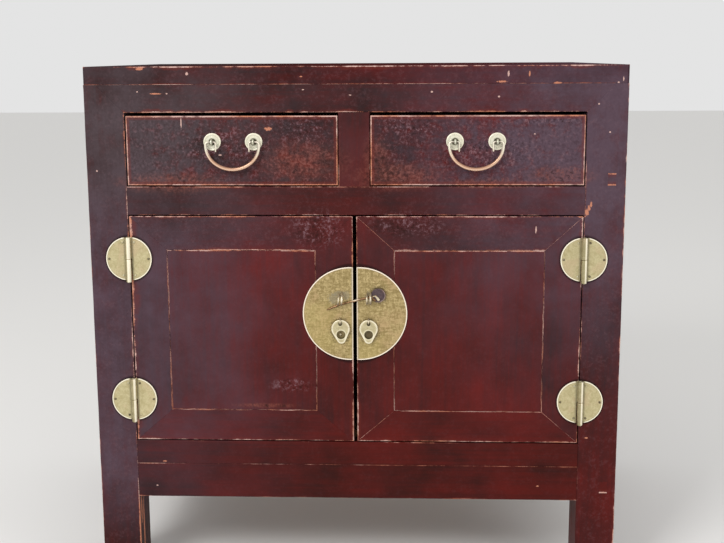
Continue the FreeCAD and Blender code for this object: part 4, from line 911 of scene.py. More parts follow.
@dataclass(frozen=True)
class Metal:
    """A copper alloy, cloudily tarnished and brushed, dirty beside its rim, with painted highlights, shade
    and shadows.
    """

    name: str
    bright: Colour
    dull: Colour
    patch: Colour
    dirt_and_shade: Colour
    # colour of rubbed rims and painted highlights
    rim: Colour = linear(272, 262, 236)
    warm: Colour = linear(238, 178, 140)
    zone: Colour = linear(208, 188, 116)
    stain: Colour = linear(158, 150, 128)
    rough: float = 0.36
    metallic: float = 0.75
    cloud_large: float = 26.0
    cloud_small: float = 150.0
    brushed: float = 0.5
    hatch: float = 1600.0
    speckle: float = 0.35
    zoned: float = 0.0
    stains: tuple[Chip, ...] = ()
    shadows: tuple[Chip, ...] = ()
    front: float = 0.0
    middle: float = 0.0
    has_rim: bool = False
    shaded_axis: float = 0.0
    cut_edge: float = 0.0

    def marked(self, graph: Graph, effects: Effects, position: Value, colour: Value) -> Value:
        """The colour with its grey stained patches, partly painted shade, and its painted shadows."""
        marks = [(chip, 0.5, self.stain) for chip in self.stains]
        marks += [(chip, 0.62, self.dirt_and_shade) for chip in self.shadows]
        for chip, share, tone in marks:
            place = (chip.x, self.front, self.middle + chip.z)
            spot = graph.spot(effects.chip, position, place, (chip.wide, 6.0, chip.high))
            colour = graph.mix(spot * share, colour, tone)
        return colour

    def material(self, effects: Effects) -> bpy.types.Material:
        """Builds the material from the shared node groups."""
        material, graph, shader = new_material(self.name)
        step, mix = graph.step, graph.mix
        position = graph.position()
        across = graph.parts(position)[0].size()
        large, small = graph.group(effects.cloud, position, self.cloud_large, self.cloud_small)
        hair = graph.noise(graph.stretched(position, (self.hatch / 4, 60.0, self.hatch)), 1.0, 3.0, 0.6)
        cross = graph.noise(graph.stretched(position, (self.hatch, 60.0, self.hatch / 4)), 1.0, 3.0, 0.6)
        brushing = hair * 0.6 + cross * 0.4
        colour = mix(step(small, 0.3, 0.7), self.dull, self.bright)
        colour = mix(step(large, 0.48, 0.66) * 0.7, colour, self.patch)
        colour = mix(step(brushing, 0.54, 0.4) * self.brushed, colour, self.dull)
        if self.zoned:
            broad = graph.noise(graph.vector("ADD", position, (1.7, 0.3, 2.9)), 12.0, 3.0, 0.55)
            colour = mix(step(broad, 0.52, 0.66) * self.zoned, colour, self.zone)
        dots = step(graph.noise(position, 900.0, 2.0), 0.62, 0.72)
        colour = mix(dots * self.speckle, colour, self.dirt_and_shade)
        soil, warm, _ = graph.parts(graph.attribute("soil"))
        colour = self.marked(graph, effects, position, mix(warm * 0.9, colour, self.warm))
        polish_and_highlight = (soil * -1.0).either(0.0)
        away = (across - self.shaded_axis * METRES).size()
        # painted shadow on the hinge leaves beside the barrel
        if self.shaded_axis:
            shade = step(away, 9.5 * METRES, 4.6 * METRES) * 0.62 * step(away, 4.4 * METRES, 4.6 * METRES)
            colour = mix(shade, colour, self.dirt_and_shade)
        if self.has_rim:
            near = graph.parts(graph.attribute("near"))[0]
            colour = mix(step(near, 0.84, 0.92) * step(near, 1.09, 1.0) * 0.6, colour, self.dirt_and_shade)
            # painted highlight on the rim, partly rubbed bright; kept off beside the hinge barrels and near
            # the cut edge
            rim = step(near, 0.86, 0.7)
            if self.shaded_axis:
                rim = rim * step(away, 6.0 * METRES, 9.0 * METRES)
            if self.cut_edge:
                dull = step(across, (self.cut_edge + 3.2) * METRES, (self.cut_edge + 2.4) * METRES)
                rim = rim * (1.0 - dull * 0.4)
                colour = mix(dull * 0.3, colour, self.stain)
            polish_and_highlight = polish_and_highlight.either(rim)
        colour = mix(polish_and_highlight * 0.92, colour, self.rim)
        graph.feed(shader.inputs["Base Color"], mix(soil.either(0.0) * 0.9, colour, self.dirt_and_shade))
        graph.feed(shader.inputs["Metallic"], (1.0 - polish_and_highlight * 0.7) * self.metallic)
        graph.feed(shader.inputs["Roughness"], (brushing - 0.5) * 0.3 + self.rough)
        graph.bump(shader, small * 0.6 + brushing * 0.25, 0.25, 0.0004)
        return material


# Pieces


@dataclass(frozen=True)
class Tint:
    """The lacquer on one piece: how red it is, how much painted sheen it has, how mottled and matt it is, and
    how its edges are rubbed.
    """

    red: float = 0.42
    painted_sheen: float = 1.0
    share: float = 0.3
    reach: float = 1.1
    mottled: float = 0.2
    matt: float = 0.0


class Workshop:
    """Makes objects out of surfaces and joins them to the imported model."""

    def __init__(self, frame: dict) -> None:
        """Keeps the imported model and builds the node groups.
        """
        self.frame = frame
        self.effects = Effects()
        self.finishes: dict[str, bpy.types.Material] = {}
        self.pieces = 0

    def finish(self, kind: Lacquer | BareWood | Metal) -> None:
        """Builds a finish once, under its own name."""
        self.finishes[kind.name] = kind.material(self.effects)

    @staticmethod
    def box(node: str) -> tuple[Array, Array]:
        """The lowest and highest corner of a solid, in millimetres."""
        low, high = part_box(node)
        return np.array(low) / METRES, np.array(high) / METRES

    def piece(self, name: str, surfaces: Iterable[Surface], finish: str, body: str, slot: str,
              node: str, tint: Tint = Tint()) -> bpy.types.Object:
        """Makes one object, dresses it and lets it stand for its solids.

        Args:
            name: The object's name.
            surfaces: Its shapes.
            finish: The name of its finish.
            body: The body it rides on.
            slot: The material slot of the record; not used.
            node: The node of solids that it stands for.
            tint: How its lacquer looks, where it has any.

        Returns:
            The object.
        """
        shape = Surface.joined(surfaces)
        mesh = bpy.data.meshes.new(name)
        mesh.from_pydata((shape.points * METRES).tolist(), [], shape.faces)
        mesh.update()
        mesh.polygons.foreach_set("use_smooth", np.ones(len(mesh.polygons), bool))
        count = len(shape.points)
        shift = (sum(ord(letter) for letter in name) * 0.37) % 10.0
        soil = np.tile([tint.matt, 0.0, 0.0], (count, 1)) if shape.soil is None else shape.soil
        carried = {
            "near": shape.near, "far": shape.far, "grain": shape.grain, "soil": soil,
            "mark": np.tile([shift, tint.red, tint.painted_sheen], (count, 1)),
            "wear": np.tile([tint.share, tint.reach, tint.mottled], (count, 1)),
        }
        for label, values in carried.items():
            if values is not None:
                layer = mesh.attributes.new(label, "FLOAT_VECTOR", "POINT")
                layer.data.foreach_set("vector", np.ascontiguousarray(values, np.float32).reshape(-1))
        if shape.normals is not None:
            mesh.normals_split_custom_set_from_vertices(shape.normals.tolist())
        mesh.materials.append(self.finishes[finish])
        made = bpy.data.objects.new(name, mesh)
        bpy.context.scene.collection.objects.link(made)
        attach(made, body)
        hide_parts(node)
        self.pieces += 1
        log.info("%s: %d points, %d faces, on %s", name, count, len(shape.faces), body)
        return made

    def lacquered(self, name: str, boards: Sequence[Board], node: str, tint: Tint = Tint(),
                  body: str = "case") -> None:
        """Makes a lacquered wooden piece."""
        surfaces = [board.surface() for board in boards]
        self.piece(name, surfaces, "oxblood_lacquer", body, "lacquered_wood", node, tint)

    def bare(self, name: str, boards: Sequence[Board], node: str, body: str = "case") -> None:
        """Makes an unlacquered wooden piece."""
        self.piece(name, [board.surface() for board in boards], "bare_wood", body, "bare_wood", node)


@dataclass
class Levels:
    """The planes of the case, in millimetres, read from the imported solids, and the brass on them."""

    front: float
    back: float
    half: float
    post_in: float
    top: float
    under: float
    bay_top: float
    bay_low: float
    door_top: float
    door_low: float
    rail_low: float
    apron_low: float
    lock_below: float = 160.4
    upper_hinge: float = 70.9
    lower_hinge: float = 71.6
    hinge_out: float = 0.8
    pull_below: float = 8.9
    plate_face: float = 1.6
    latch_stand: float = 2.2
    pull_stand: float = 3.4

    @staticmethod
    def read() -> "Levels":
        """Reads the planes from the boxes of the posts, the rails, the top's front and the apron."""
        box = Workshop.box
        post, lower, frame = box("post_front_right"), box("lower_front_rail"), box("top_frame_front")
        middle, rail = box("middle_front_rail"), box("upper_front_rail")
        return Levels(front=post[0][1], back=box("post_back_right")[1][1], half=post[1][0],
                      post_in=post[0][0], top=frame[1][2], under=frame[0][2], bay_top=rail[0][2],
                      bay_low=middle[1][2], door_top=middle[0][2], door_low=lower[1][2],
                      rail_low=lower[0][2], apron_low=box("front_apron")[0][2])

    @property
    def lock_middle(self) -> float:
        """The height of the lock plate's middle."""
        return self.door_top - self.lock_below

    @property
    def hinge_axis(self) -> float:
        """How far the hinges' axes are from the cabinet's middle."""
        return self.post_in + self.hinge_out

    def hinge_heights(self) -> tuple[float, float]:
        """The heights of the hinges' middles."""
        return self.door_top - self.upper_hinge, self.door_low + self.lower_hinge

    @staticmethod
    def pull_across(side: str) -> float:
        """Where a pull hangs along x."""
        return {"left": -23.7, "right": 21.9}[side]


@dataclass
class Carcass:
    """Posts, rails, panels, the apron and the inner boards."""

    shop: Workshop
    at: Levels
    rail_deep: float = 38.0
    divider_half: float = 24.5
    post_deep: float = 62.0
    side_thick: float = 44.0
    tenon_low: float = 396.5
    tenon_high: float = 409.5
    tenon_half: float = 9.8
    housed: float = 6.0

    def build(self) -> None:
        """Makes every wooden piece of the case."""
        self.posts()
        self.front_rails()
        self.sides()
        self.rear()
        self.inside()

    def posts(self) -> None:
        """The four posts; the front ones are cut at the top for the mitred rail."""
        at, deep = self.at, self.rail_deep
        run = at.under - at.bay_top
        for side, sign in SIDES.items():
            corners = [(at.post_in, 0.0), (at.half, 0.0), (at.half, at.under), (at.post_in + run, at.under),
                       (at.post_in, at.bay_top)]
            edges = [1.0, 2.0, JOINT, JOINT, FREE]
            outer, inner, red = {"left": (1.0, 1.7, 0.4), "right": (1.9, 0.8, 0.31)}[side]
            worn, pairs = [0.5, outer, 0.0, 0.0, inner], (0, 1, 2, 4)
            if sign < 0:
                corners, edges, worn = flipped(corners), turned_back(edges), turned_back(worn)
                pairs = (0, 1, 3, 4)
            front = Board(corners, at.front, deep, edges=edges, worn=worn, pairs=pairs, grain_up=True,
                          seed=11 + sign)
            high = self.shop.box(f"post_front_{side}")[1]
            whole = rectangle(*sorted((at.post_in * sign, at.half * sign)), 0.0, at.under)
            rear = Board(whole, at.front + deep + 0.05, high[1] - at.front - deep - 0.05,
                         edges=[0.6, 0.4, 0.4, 0.4], worn=[0.0] * 4, grain_up=True, seed=21 + sign)
            self.shop.lacquered(f"front_post_{side}", [front, rear], f"post_front_{side}",
                                Tint(red, 1.0, 0.27, 1.3, 0.3))
            low, high = self.shop.box(f"post_back_{side}")
            back = Board(whole, high[1], high[1] - low[1], Face.BACK, edges=[1.0, 2.2, JOINT, 2.2],
                         grain_up=True, seed=31 + sign)
            self.shop.lacquered(f"back_post_{side}", [back], f"post_back_{side}", Tint(0.36, 0.8))

    def front_rails(self) -> None:
        """The rails, the divider between the drawers and the apron."""
        at, wide, half = self.at, self.at.post_in, self.divider_half
        run = at.under - at.bay_top
        low, high = self.shop.box("front_apron")
        rows = (
            ("upper_rail", "upper_front_rail",
             [(-wide, at.bay_top), (wide, at.bay_top), (wide + run, at.under), (-wide - run, at.under)],
             [FREE, JOINT, JOINT, JOINT], [1.0, 0.0, 0.0, 0.0], Tint(0.33, 0.88, 0.27, 2.6, 0.3)),
            ("middle_rail", "middle_front_rail", rectangle(-wide, wide, at.door_top, at.bay_low),
             [FREE, JOINT, 1.2, JOINT], [0.9, 0.0, 0.8, 0.0], Tint(0.33, 0.72, 0.26, 1.6, 0.2)),
            ("lower_rail", "lower_front_rail", rectangle(-wide, wide, at.rail_low, at.door_low),
             [0.9, JOINT, FREE, JOINT], [0.4, 0.0, 0.8, 0.0], Tint(0.36, 0.36, 0.22, 1.2, 0.1)),
            ("divider", "drawer_divider", rectangle(-half, half, at.bay_low, at.bay_top),
             [JOINT, FREE, JOINT, FREE], [0.0, 0.9, 0.0, 0.9], Tint(0.5, 1.0, 0.24, 1.3, 0.1)),
            ("apron", "front_apron", rectangle(-wide, wide, at.apron_low, at.rail_low),
             [FREE, JOINT, 0.9, JOINT], [1.0, 0.0, 0.7, 0.0], Tint(0.33, 0.36, 0.26, 1.5, 0.1)),
        )
        for number, (name, node, corners, edges, worn, tint) in enumerate(rows):
            level, thick = (low[1], high[1] - low[1]) if name == "apron" else (at.front, self.rail_deep)
            board = Board(corners, level, thick, edges=edges, worn=worn, grain_up=name == "divider",
                          seed=41 + number)
            self.shop.lacquered(name, [board], node, tint)

    def sides(self) -> None:
        """Side rails with their tenons' ends, and the side panels."""
        at, housed = self.at, self.housed
        front, back = at.front + self.post_deep, at.back - self.post_deep
        rails = ((at.bay_top, at.under), (at.bay_low - 8.5, at.bay_low + 31.5),
                 (at.rail_low - 55.0, at.rail_low - 15.0))
        for side, sign in SIDES.items():
            face = Face.RIGHT if sign > 0 else Face.LEFT
            boards = []
            for number, (low, high) in enumerate(rails):
                boards.append(Board(rectangle(front, back, low, high), at.half * sign, self.side_thick, face,
                                    edges=[1.3, JOINT, 1.3, JOINT], worn=[1.0, 0.0, 1.0, 0.0],
                                    seed=51 + number + sign))
                if side == "right" and number > 0:
                    middle = (low + high) / 2
                    shift, upper = ((0.0, 2.2), (2.0, 0.0))[number - 1]
                    end = rectangle(self.tenon_low + shift, self.tenon_high + shift,
                                    middle - self.tenon_half, middle + self.tenon_half)
                    boards.append(Board(end, at.front - 0.12, 6.0, edges=[0.4] * 4,
                                        worn=[2.2, 0.0, upper, 0.0], corner=0.3, grain_up=True,
                                        seed=57 + number))
            self.shop.lacquered(f"side_rails_{side}_wood", boards, f"side_rails_{side}",
                                Tint(0.38, 0.85, 0.36, 1.2))
            bays = ((rails[1][1], rails[0][0]), (rails[2][1], rails[1][0]))
            panels = [plain_board(rectangle(front - housed, back + housed, low - housed, high + housed),
                                  (at.half - housed) * sign, 12.0, face, JOINT, grain_up=True,
                                  seed=61 + number + sign)
                      for number, (low, high) in enumerate(bays)]
            self.shop.lacquered(f"side_panels_{side}_wood", panels, f"side_panels_{side}", Tint(0.38, 0.85))

    def rear(self) -> None:
        """Back rails and back panels."""
        at, wide, housed = self.at, self.at.post_in, self.housed
        levels = ((at.bay_top, at.under), (at.door_top, at.bay_low), (at.rail_low, at.door_low))
        rails = [Board(rectangle(-wide, wide, low, high), at.back, 30.0, Face.BACK,
                       edges=[1.2, JOINT, 1.2, JOINT], worn=[0.0] * 4, seed=71 + number)
                 for number, (low, high) in enumerate(levels)]
        self.shop.bare("back_rails_wood", rails, "back_rails")
        panels = []
        for number, (low, high) in enumerate(((levels[1][1], levels[0][0]), (levels[2][1], levels[1][0]))):
            steps = np.linspace(-wide - housed, wide + housed, 6)
            for first, last in zip(steps[:-1], steps[1:]):
                panels.append(plain_board(rectangle(first + 0.15, last - 0.15, low - housed, high + housed),
                                          at.back - 8.0, 10.0, Face.BACK, grain_up=True,
                                          seed=int(75 + number * 10 + first / 50)))
        self.shop.bare("back_panels_wood", panels, "back_panels")

    def inside(self) -> None:
        """The cupboard's floor and the dust board, cut back at the posts."""
        at = self.at
        for node, seed in (("cabinet_floor", 91), ("dust_board", 92)):
            low, high = self.shop.box(node)
            steps = np.linspace(low[1], high[1], 5)
            boards = []
            for first, last in zip(steps[:-1], steps[1:]):
                clear = first > at.front + self.post_deep and last < at.back - self.post_deep
                wide = high[0] if clear else at.post_in - 0.6
                boards.append(plain_board(rectangle(-wide, wide, first + 0.1, last - 0.1), high[2],
                                          high[2] - low[2], Face.UP, seed=seed))
            self.shop.bare(f"{node}_wood", boards, node)


@dataclass
class Top:
    """The mitred frame and the flush panel of the top, with the battens under it."""

    shop: Workshop
    at: Levels
    wide: float = 60.0
    hairline: float = 0.5
    batten: float = 34.0

    def build(self) -> None:
        """Makes the four frame members, the panel and the battens."""
        at, shop, half = self.at, self.shop, self.at.half
        outer = rectangle(-half, half, at.front, at.back)
        inner = rectangle(self.wide - half, half - self.wide, at.front + self.wide, at.back - self.wide)
        boards = []
        for seed, (first, up) in enumerate(((0, False), (2, False), (1, True), (3, True)), 101):
            last = (first + 1) % 4
            corners = [outer[first], outer[last], inner[last], inner[first]]
            boards.append(Board(corners, at.top, at.top - at.under, Face.UP, edges=[2.6, JOINT, 0.6, JOINT],
                                worn=[1.0, 0.0, 0.0, 0.0], back_worn=0.42, corner=1.6, grain_up=up,
                                seed=seed))
        front, back, right, left = boards
        tint = Tint(0.31, 0.8, 0.28, 2.3, 0.3, 1.0)
        shop.lacquered("top_front", [front], "top_frame_front", tint)
        shop.lacquered("top_back", [back], "top_frame_back", tint)
        shop.lacquered("top_ends", [left, right], "top_frame_ends", tint)
        across, deep = half - self.wide - self.hairline, self.wide + self.hairline
        panel = plain_board(rectangle(-across, across, at.front + deep, at.back - deep), at.top, 14.0,
                            Face.UP, seed=106)
        shop.lacquered("top_board", [panel], "top_panel", Tint(0.3, 0.4, matt=1.0))
        low, high = shop.box("top_battens")
        battens = [plain_board(rectangle(first, first + self.batten, low[1], high[1]), high[2],
                               high[2] - low[2], Face.UP, grain_up=True, seed=108)
                   for first in (low[0], high[0] - self.batten)]
        shop.bare("top_battens_wood", battens, "top_battens")


def nail_head(x: float, level: float, z: float, radius: float = 1.9) -> Surface:
    """A small domed nail head with a short shank behind it."""
    profile = [(radius * 0.45, -1.0), (radius * 0.8, -0.7), (radius, -0.2), (radius * 0.96, 0.1),
               (0.9, 0.2), (0.9, 10.0)]
    return lathe(profile, (x, level, z), (0, 1, 0), 20)


def soiled_nail(x: float, level: float, z: float, radius: float) -> Surface:
    """A domed nail head, dark round its foot, rubbed bright with a painted highlight on its crown."""
    shape = nail_head(x, level, z, radius)
    away = np.hypot(shape.points[:, 0] - x, shape.points[:, 2] - z) / radius
    return soiled_and_shaded(shape, 1.2 * away ** 2 - 0.5)


@dataclass
class Hinges:
    """Round hinges: two half discs, a barrel in two knuckles, a pin and nails."""

    shop: Workshop
    at: Levels
    radius: float = 35.3
    offset: float = 1.4
    thick: float = 2.0
    stand: float = 5.0
    barrel: float = 4.4
    gap: float = 0.3
    below: float = 2.2
    rim_high: float = 0.35
    rim_wide: float = 2.1
    nail_in: float = 5.0
    nail_near: float = 9.5
    nail_up: float = 27.0

    def leaf(self, side: int, on_door: bool, height: float) -> list[Surface]:
        """One leaf with its knuckle: on the door the upper one, on the case the lower one."""
        axis, way = self.at.hinge_axis * side, -side if on_door else side
        centre, other = axis + self.offset * way, self.barrel + 0.6
        bow = half_disc(centre, centre, self.radius, way, 44)
        keep = bow[(bow[:, 0] - axis) * way > other + 2.6]
        up, beside = 1 if on_door else -1, axis + other * way
        foot = math.sqrt(self.radius ** 2 - (other - self.offset) ** 2)
        inner = [(centre, self.radius * up), (centre, self.gap / 2 * up), (beside, self.gap / 2 * up),
                 (beside, -foot * up)]
        if (way > 0) != on_door:
            inner.reverse()
        spots = np.concatenate([keep, inner]) + (0.0, height)
        face = Plate(spots, self.at.front, self.thick - self.rim_high, self.rim_high, self.rim_wide)
        return [face.surface(), self.knuckle(axis, height, on_door)]

    def knuckle(self, axis: float, height: float, on_door: bool) -> Surface:
        """Half of the barrel, with rounded ends."""
        half, r = self.gap / 2, self.barrel
        low = height + half if on_door else height - self.radius - self.below
        long = (height + self.radius if on_door else height - half) - low
        profile = [(r * 0.55, 0.0), (r * 0.8, 0.1), (r * 0.95, 0.5), (r, 1.1), (r, long - 1.1),
                   (r * 0.95, long - 0.5), (r * 0.8, long - 0.1), (r * 0.55, long)]
        shape = lathe(profile, (axis, self.at.front - self.stand, low), (0, 0, 1), 36)
        across = (shape.points[:, 0] - axis) / r
        depth = (shape.points[:, 1] - self.at.front + self.stand) / r
        # painted highlight: a bright stripe on the barrel's right half, wider on the upper left hinge;
        # painted shade on its left half and its back
        start = -0.5 if axis < 0 and height > self.at.lock_middle else 0.0
        crest = np.clip((across - start) / 0.3, 0.0, 1.0) * np.clip((1.0 - across) / 0.15, 0.0, 1.0)
        return soiled_and_shaded(shape, 0.4 - 1.35 * crest + 0.6 * np.maximum(depth, 0.0))

    def nails(self, side: int, on_door: bool, height: float) -> list[Surface]:
        """Three nail heads on a leaf, dirty where the photo shows them dark."""
        axis, way = self.at.hinge_axis * side, -side if on_door else side
        far = axis + (self.offset + self.radius - self.nail_in) * way
        near = axis + self.nail_near * way
        upper = height > self.at.lock_middle
        dirty = {(-1, False): (0.9, 0.0, 0.0 if upper else 1.0),
                 (-1, True): (0.9, 0.0 if upper else 0.9, 0.0),
                 (1, True): (0.9, 0.0, 0.0 if upper else 0.6),
                 (1, False): (1.0, 0.9 if upper else 0.0, 0.9)}
        places = ((far, height), (near, height + self.nail_up), (near, height - self.nail_up))
        heads = [nail_head(x, self.at.front - self.thick, z) for x, z in places]
        return [soiled_and_shaded(head, np.full(len(head.points), amount))
                for head, amount in zip(heads, dirty[(side, on_door)])]

    def pin(self, side: int, height: float) -> list[Surface]:
        """The pin's two button ends."""
        axis, y = self.at.hinge_axis * side, self.at.front - self.stand
        low = height - self.radius - self.below - 0.1
        button = [(1.5, -3.0), (1.5, -0.2), (2.8, 0.0), (3.0, 0.25), (2.8, 0.5), (1.8, 0.8), (0.8, 0.9)]
        return [lathe(button, (axis, y, height + self.radius + 0.1), (0, 0, 1), 20),
                lathe(button, (axis, y, low), (0, 0, -1), 20)]

    def build(self) -> None:
        """Makes the case's leaves, the pins and their nails; doors ask for their own."""
        pins = [end for sign in SIDES.values() for height in self.at.hinge_heights()
                for end in self.pin(sign, height)]
        leaves, nails = [], []
        for sign in SIDES.values():
            for height in self.at.hinge_heights():
                leaves += self.leaf(sign, False, height)
                nails += self.nails(sign, False, height)
        self.make("case_hinges", leaves, "case", "case_hinge_leaves", "pale_brass_rimmed")
        self.make("hinge_pin_buttons", pins, "case", "hinge_pins", "pale_brass")
        self.make("case_hinge_nails", nails, "case", "case_nails", "pale_brass")

    def build_on_door(self, side: str) -> None:
        """Makes the leaves and nails of one door."""
        body, leaves, nails = f"{side}_door", [], []
        for height in self.at.hinge_heights():
            leaves += self.leaf(SIDES[side], True, height)
            nails += self.nails(SIDES[side], True, height)
        self.make(f"{body}_hinges", leaves, body, f"{body}_hinge_leaves", "pale_brass_rimmed")
        self.make(f"{body}_hinge_nails", nails, body, f"{body}_nails", "pale_brass")

    def make(self, name: str, surfaces: list[Surface], body: str, node: str, finish: str) -> None:
        """Makes one brass object of the hinges."""
        self.shop.piece(name, surfaces, finish, body, "hinge_brass", node)


@dataclass
class Door:
    """A door: a mitred frame, a flush panel in a worn hairline groove, and its brass."""

    shop: Workshop
    at: Levels
    side: str
    thick: float = 24.0
    panel_thick: float = 15.8
    middle_gap: float = 5.5
    hinge_gap: float = 1.5
    low_gap: float = 1.7
    high_gap: float = 1.8
    stile_in: float = 60.15
    stile_out: float = 59.1
    lower_rail: float = 52.0
    upper_rail: float = 54.8
    hair: float = 0.5
    lock_centre: float = 7.5
    lock_edge: float = 3.0
    lock_radius: float = 76.5

    def build(self, hinges: Hinges) -> None:
        """Makes the door's wood and brass.

        Args:
            hinges: The hinges whose door leaves this door carries.
        """
        self.frame()
        hinges.build_on_door(self.side)
        self.lock()

    def frame(self) -> None:
        """Stiles, rails and panel."""
        at, sign, body, hair = self.at, SIDES[self.side], f"{self.side}_door", self.hair
        inner, outer = self.middle_gap / 2, at.post_in - self.hinge_gap
        low, high = at.door_low + self.low_gap, at.door_top - self.high_gap
        panel_in, panel_out = inner + self.stile_in, outer - self.stile_out
        panel_low, panel_high = low + self.lower_rail, high - self.upper_rail
        mitre, hinge_edge = {"left": (0.0, 3.0), "right": (0.22, 1.6)}[self.side]
        members = {
            "rail_top": ([(panel_in, panel_high), (panel_out, panel_high), (outer, high), (inner, high)],
                         [0.7, JOINT, FREE, JOINT], [1.0, mitre, 1.0, mitre],
                         Tint(0.42, 0.95, 0.31, 1.8, 0.3)),
            "rail_bottom": ([(inner, low), (outer, low), (panel_out, panel_low), (panel_in, panel_low)],
                            [FREE, JOINT, 0.7, JOINT], [1.9, mitre, 0.5, mitre],
                            Tint(0.56, 0.7, 0.3, 1.3, 0.1)),
            "stile_outer": ([(panel_out, panel_low), (outer, low), (outer, high), (panel_out, panel_high)],
                            [JOINT, FREE, JOINT, 0.7], [mitre, hinge_edge, mitre, 0.5],
                            Tint(0.44, 1.0, 0.28, 1.7, 0.1)),
            "stile_inner": ([(inner, low), (panel_in, panel_low), (panel_in, panel_high), (inner, high)],
                            [JOINT, 0.7, JOINT, FREE], [mitre, 0.45, mitre, 2.0],
                            Tint(0.5, 0.95, 0.36, 1.3, 0.1)),
        }
        for number, (word, (corners, edges, worn, tint)) in enumerate(members.items()):
            if sign < 0:
                corners, edges, worn = flipped(corners), turned_back(edges), turned_back(worn)
            board = Board(corners, at.front, self.thick, edges=edges, worn=worn,
                          grain_up=word.startswith("stile"), seed=201 + number + 10 * sign)
            self.shop.lacquered(f"{body}_{word}_wood", [board], f"{body}_{word}", tint, body)
        span = sorted((panel_in * sign, panel_out * sign))
        corners = rectangle(span[0] + hair, span[1] - hair, panel_low + hair, panel_high - hair)
        panel = Board(corners, at.front, self.panel_thick, edges=[0.7] * 4, worn=[0.6, 0.5, 1.0, 0.5],
                      grain_up=True, seed=221 + sign)
        self.shop.lacquered(f"{body}_panel_wood", [panel], f"{body}_panel",
                            Tint(0.6, 0.9, 0.29, 1.6, 0.1), body)

    def lock(self) -> None:
        """The half of the lock plate on this door, with its two staples."""
        at, sign, body = self.at, SIDES[self.side], f"{self.side}_door"
        middle, face = at.lock_middle, at.front - at.plate_face
        outline = half_disc(self.lock_centre * sign, self.lock_edge * sign, self.lock_radius, sign, 90)
        parts = [Plate(outline + (0.0, middle), at.front, 1.2, 0.5, 2.2).surface()]
        if self.side == "left":
            parts.append(soiled_nail(-23.6, at.front - 1.3, middle - 34.0, 3.0))
        self.shop.piece(f"{body}_lock_half", parts, "plate_brass", body, "plate_brass", f"{body}_lock_plate")
        # the last pair sets how strong the painted highlight on each latch staple is
        x, up, loop, gap, lean, painted_highlight = {"left": (-23.4, 24.6, 9.4, 2.6, 1.1, (1.2, 1.6)),
                                         "right": (22.4, 25.6, 8.8, 2.9, 0.0, (1.05, 0.95))}[self.side]
        pull_z = middle - at.pull_below - Pull.eye_down + 4.5
        stand = at.latch_stand
        staples = [self.staple(x - gap, middle + up - 0.8, face, loop - 0.8, 1.4, stand, lean, painted_highlight[0]),
                   self.staple(x + gap, middle + up, face, loop, 1.6, stand, lean * 0.6, painted_highlight[1]),
                   self.staple(at.pull_across(self.side), pull_z, face, 4.5, 1.0, at.pull_stand)]
        self.shop.piece(f"{body}_staple_loops", staples, "bright_brass", body, "handle_brass",
                        f"{body}_staples")

    def staple(self, x: float, z: float, face: float, loop: float, wire: float, stand: float,
               lean: float = 0.0, painted_highlight: float = 1.3) -> Surface:
        """A loop of wire with two legs through the stile, bent over on its inner face.

        Args:
            x: Its place from side to side.
            z: The height of the loop's middle.
            face: The front of the plate it goes through.
            loop: The loop's radius.
            wire: The wire's radius.
            stand: How far the loop's middle stands in front of the plate.
            lean: How far the loop's top leans aside.
            painted_highlight: How strong a highlight is painted on its front, high on the loop.

        Returns:
            The loop with its two clinched ends, with a painted highlight in its upper half.
        """
        inner = self.at.front + self.thick + 1.6
        leg = np.array([[inner, loop + 8.0], [inner, loop + 1.5], [inner - 1.2, loop]])
        bow = arc((face - stand, 0.0), loop, 90, 270, 24)
        flat = smooth_path(np.concatenate([leg, bow, leg[::-1] * (1.0, -1.0)]) + (0.0, z), 0.8)
        aside = x + lean * np.clip((flat[:, 1] - z) / loop, -1.0, 1.0)
        shape = tube(np.stack([aside, flat[:, 0], flat[:, 1]], axis=1), wire, (1, 0, 0), 14)
        up = (shape.points[:, 2] - z) / loop
        return soiled_and_shaded(shape, 0.7 - painted_highlight * bell(up - 0.15, 0.4))


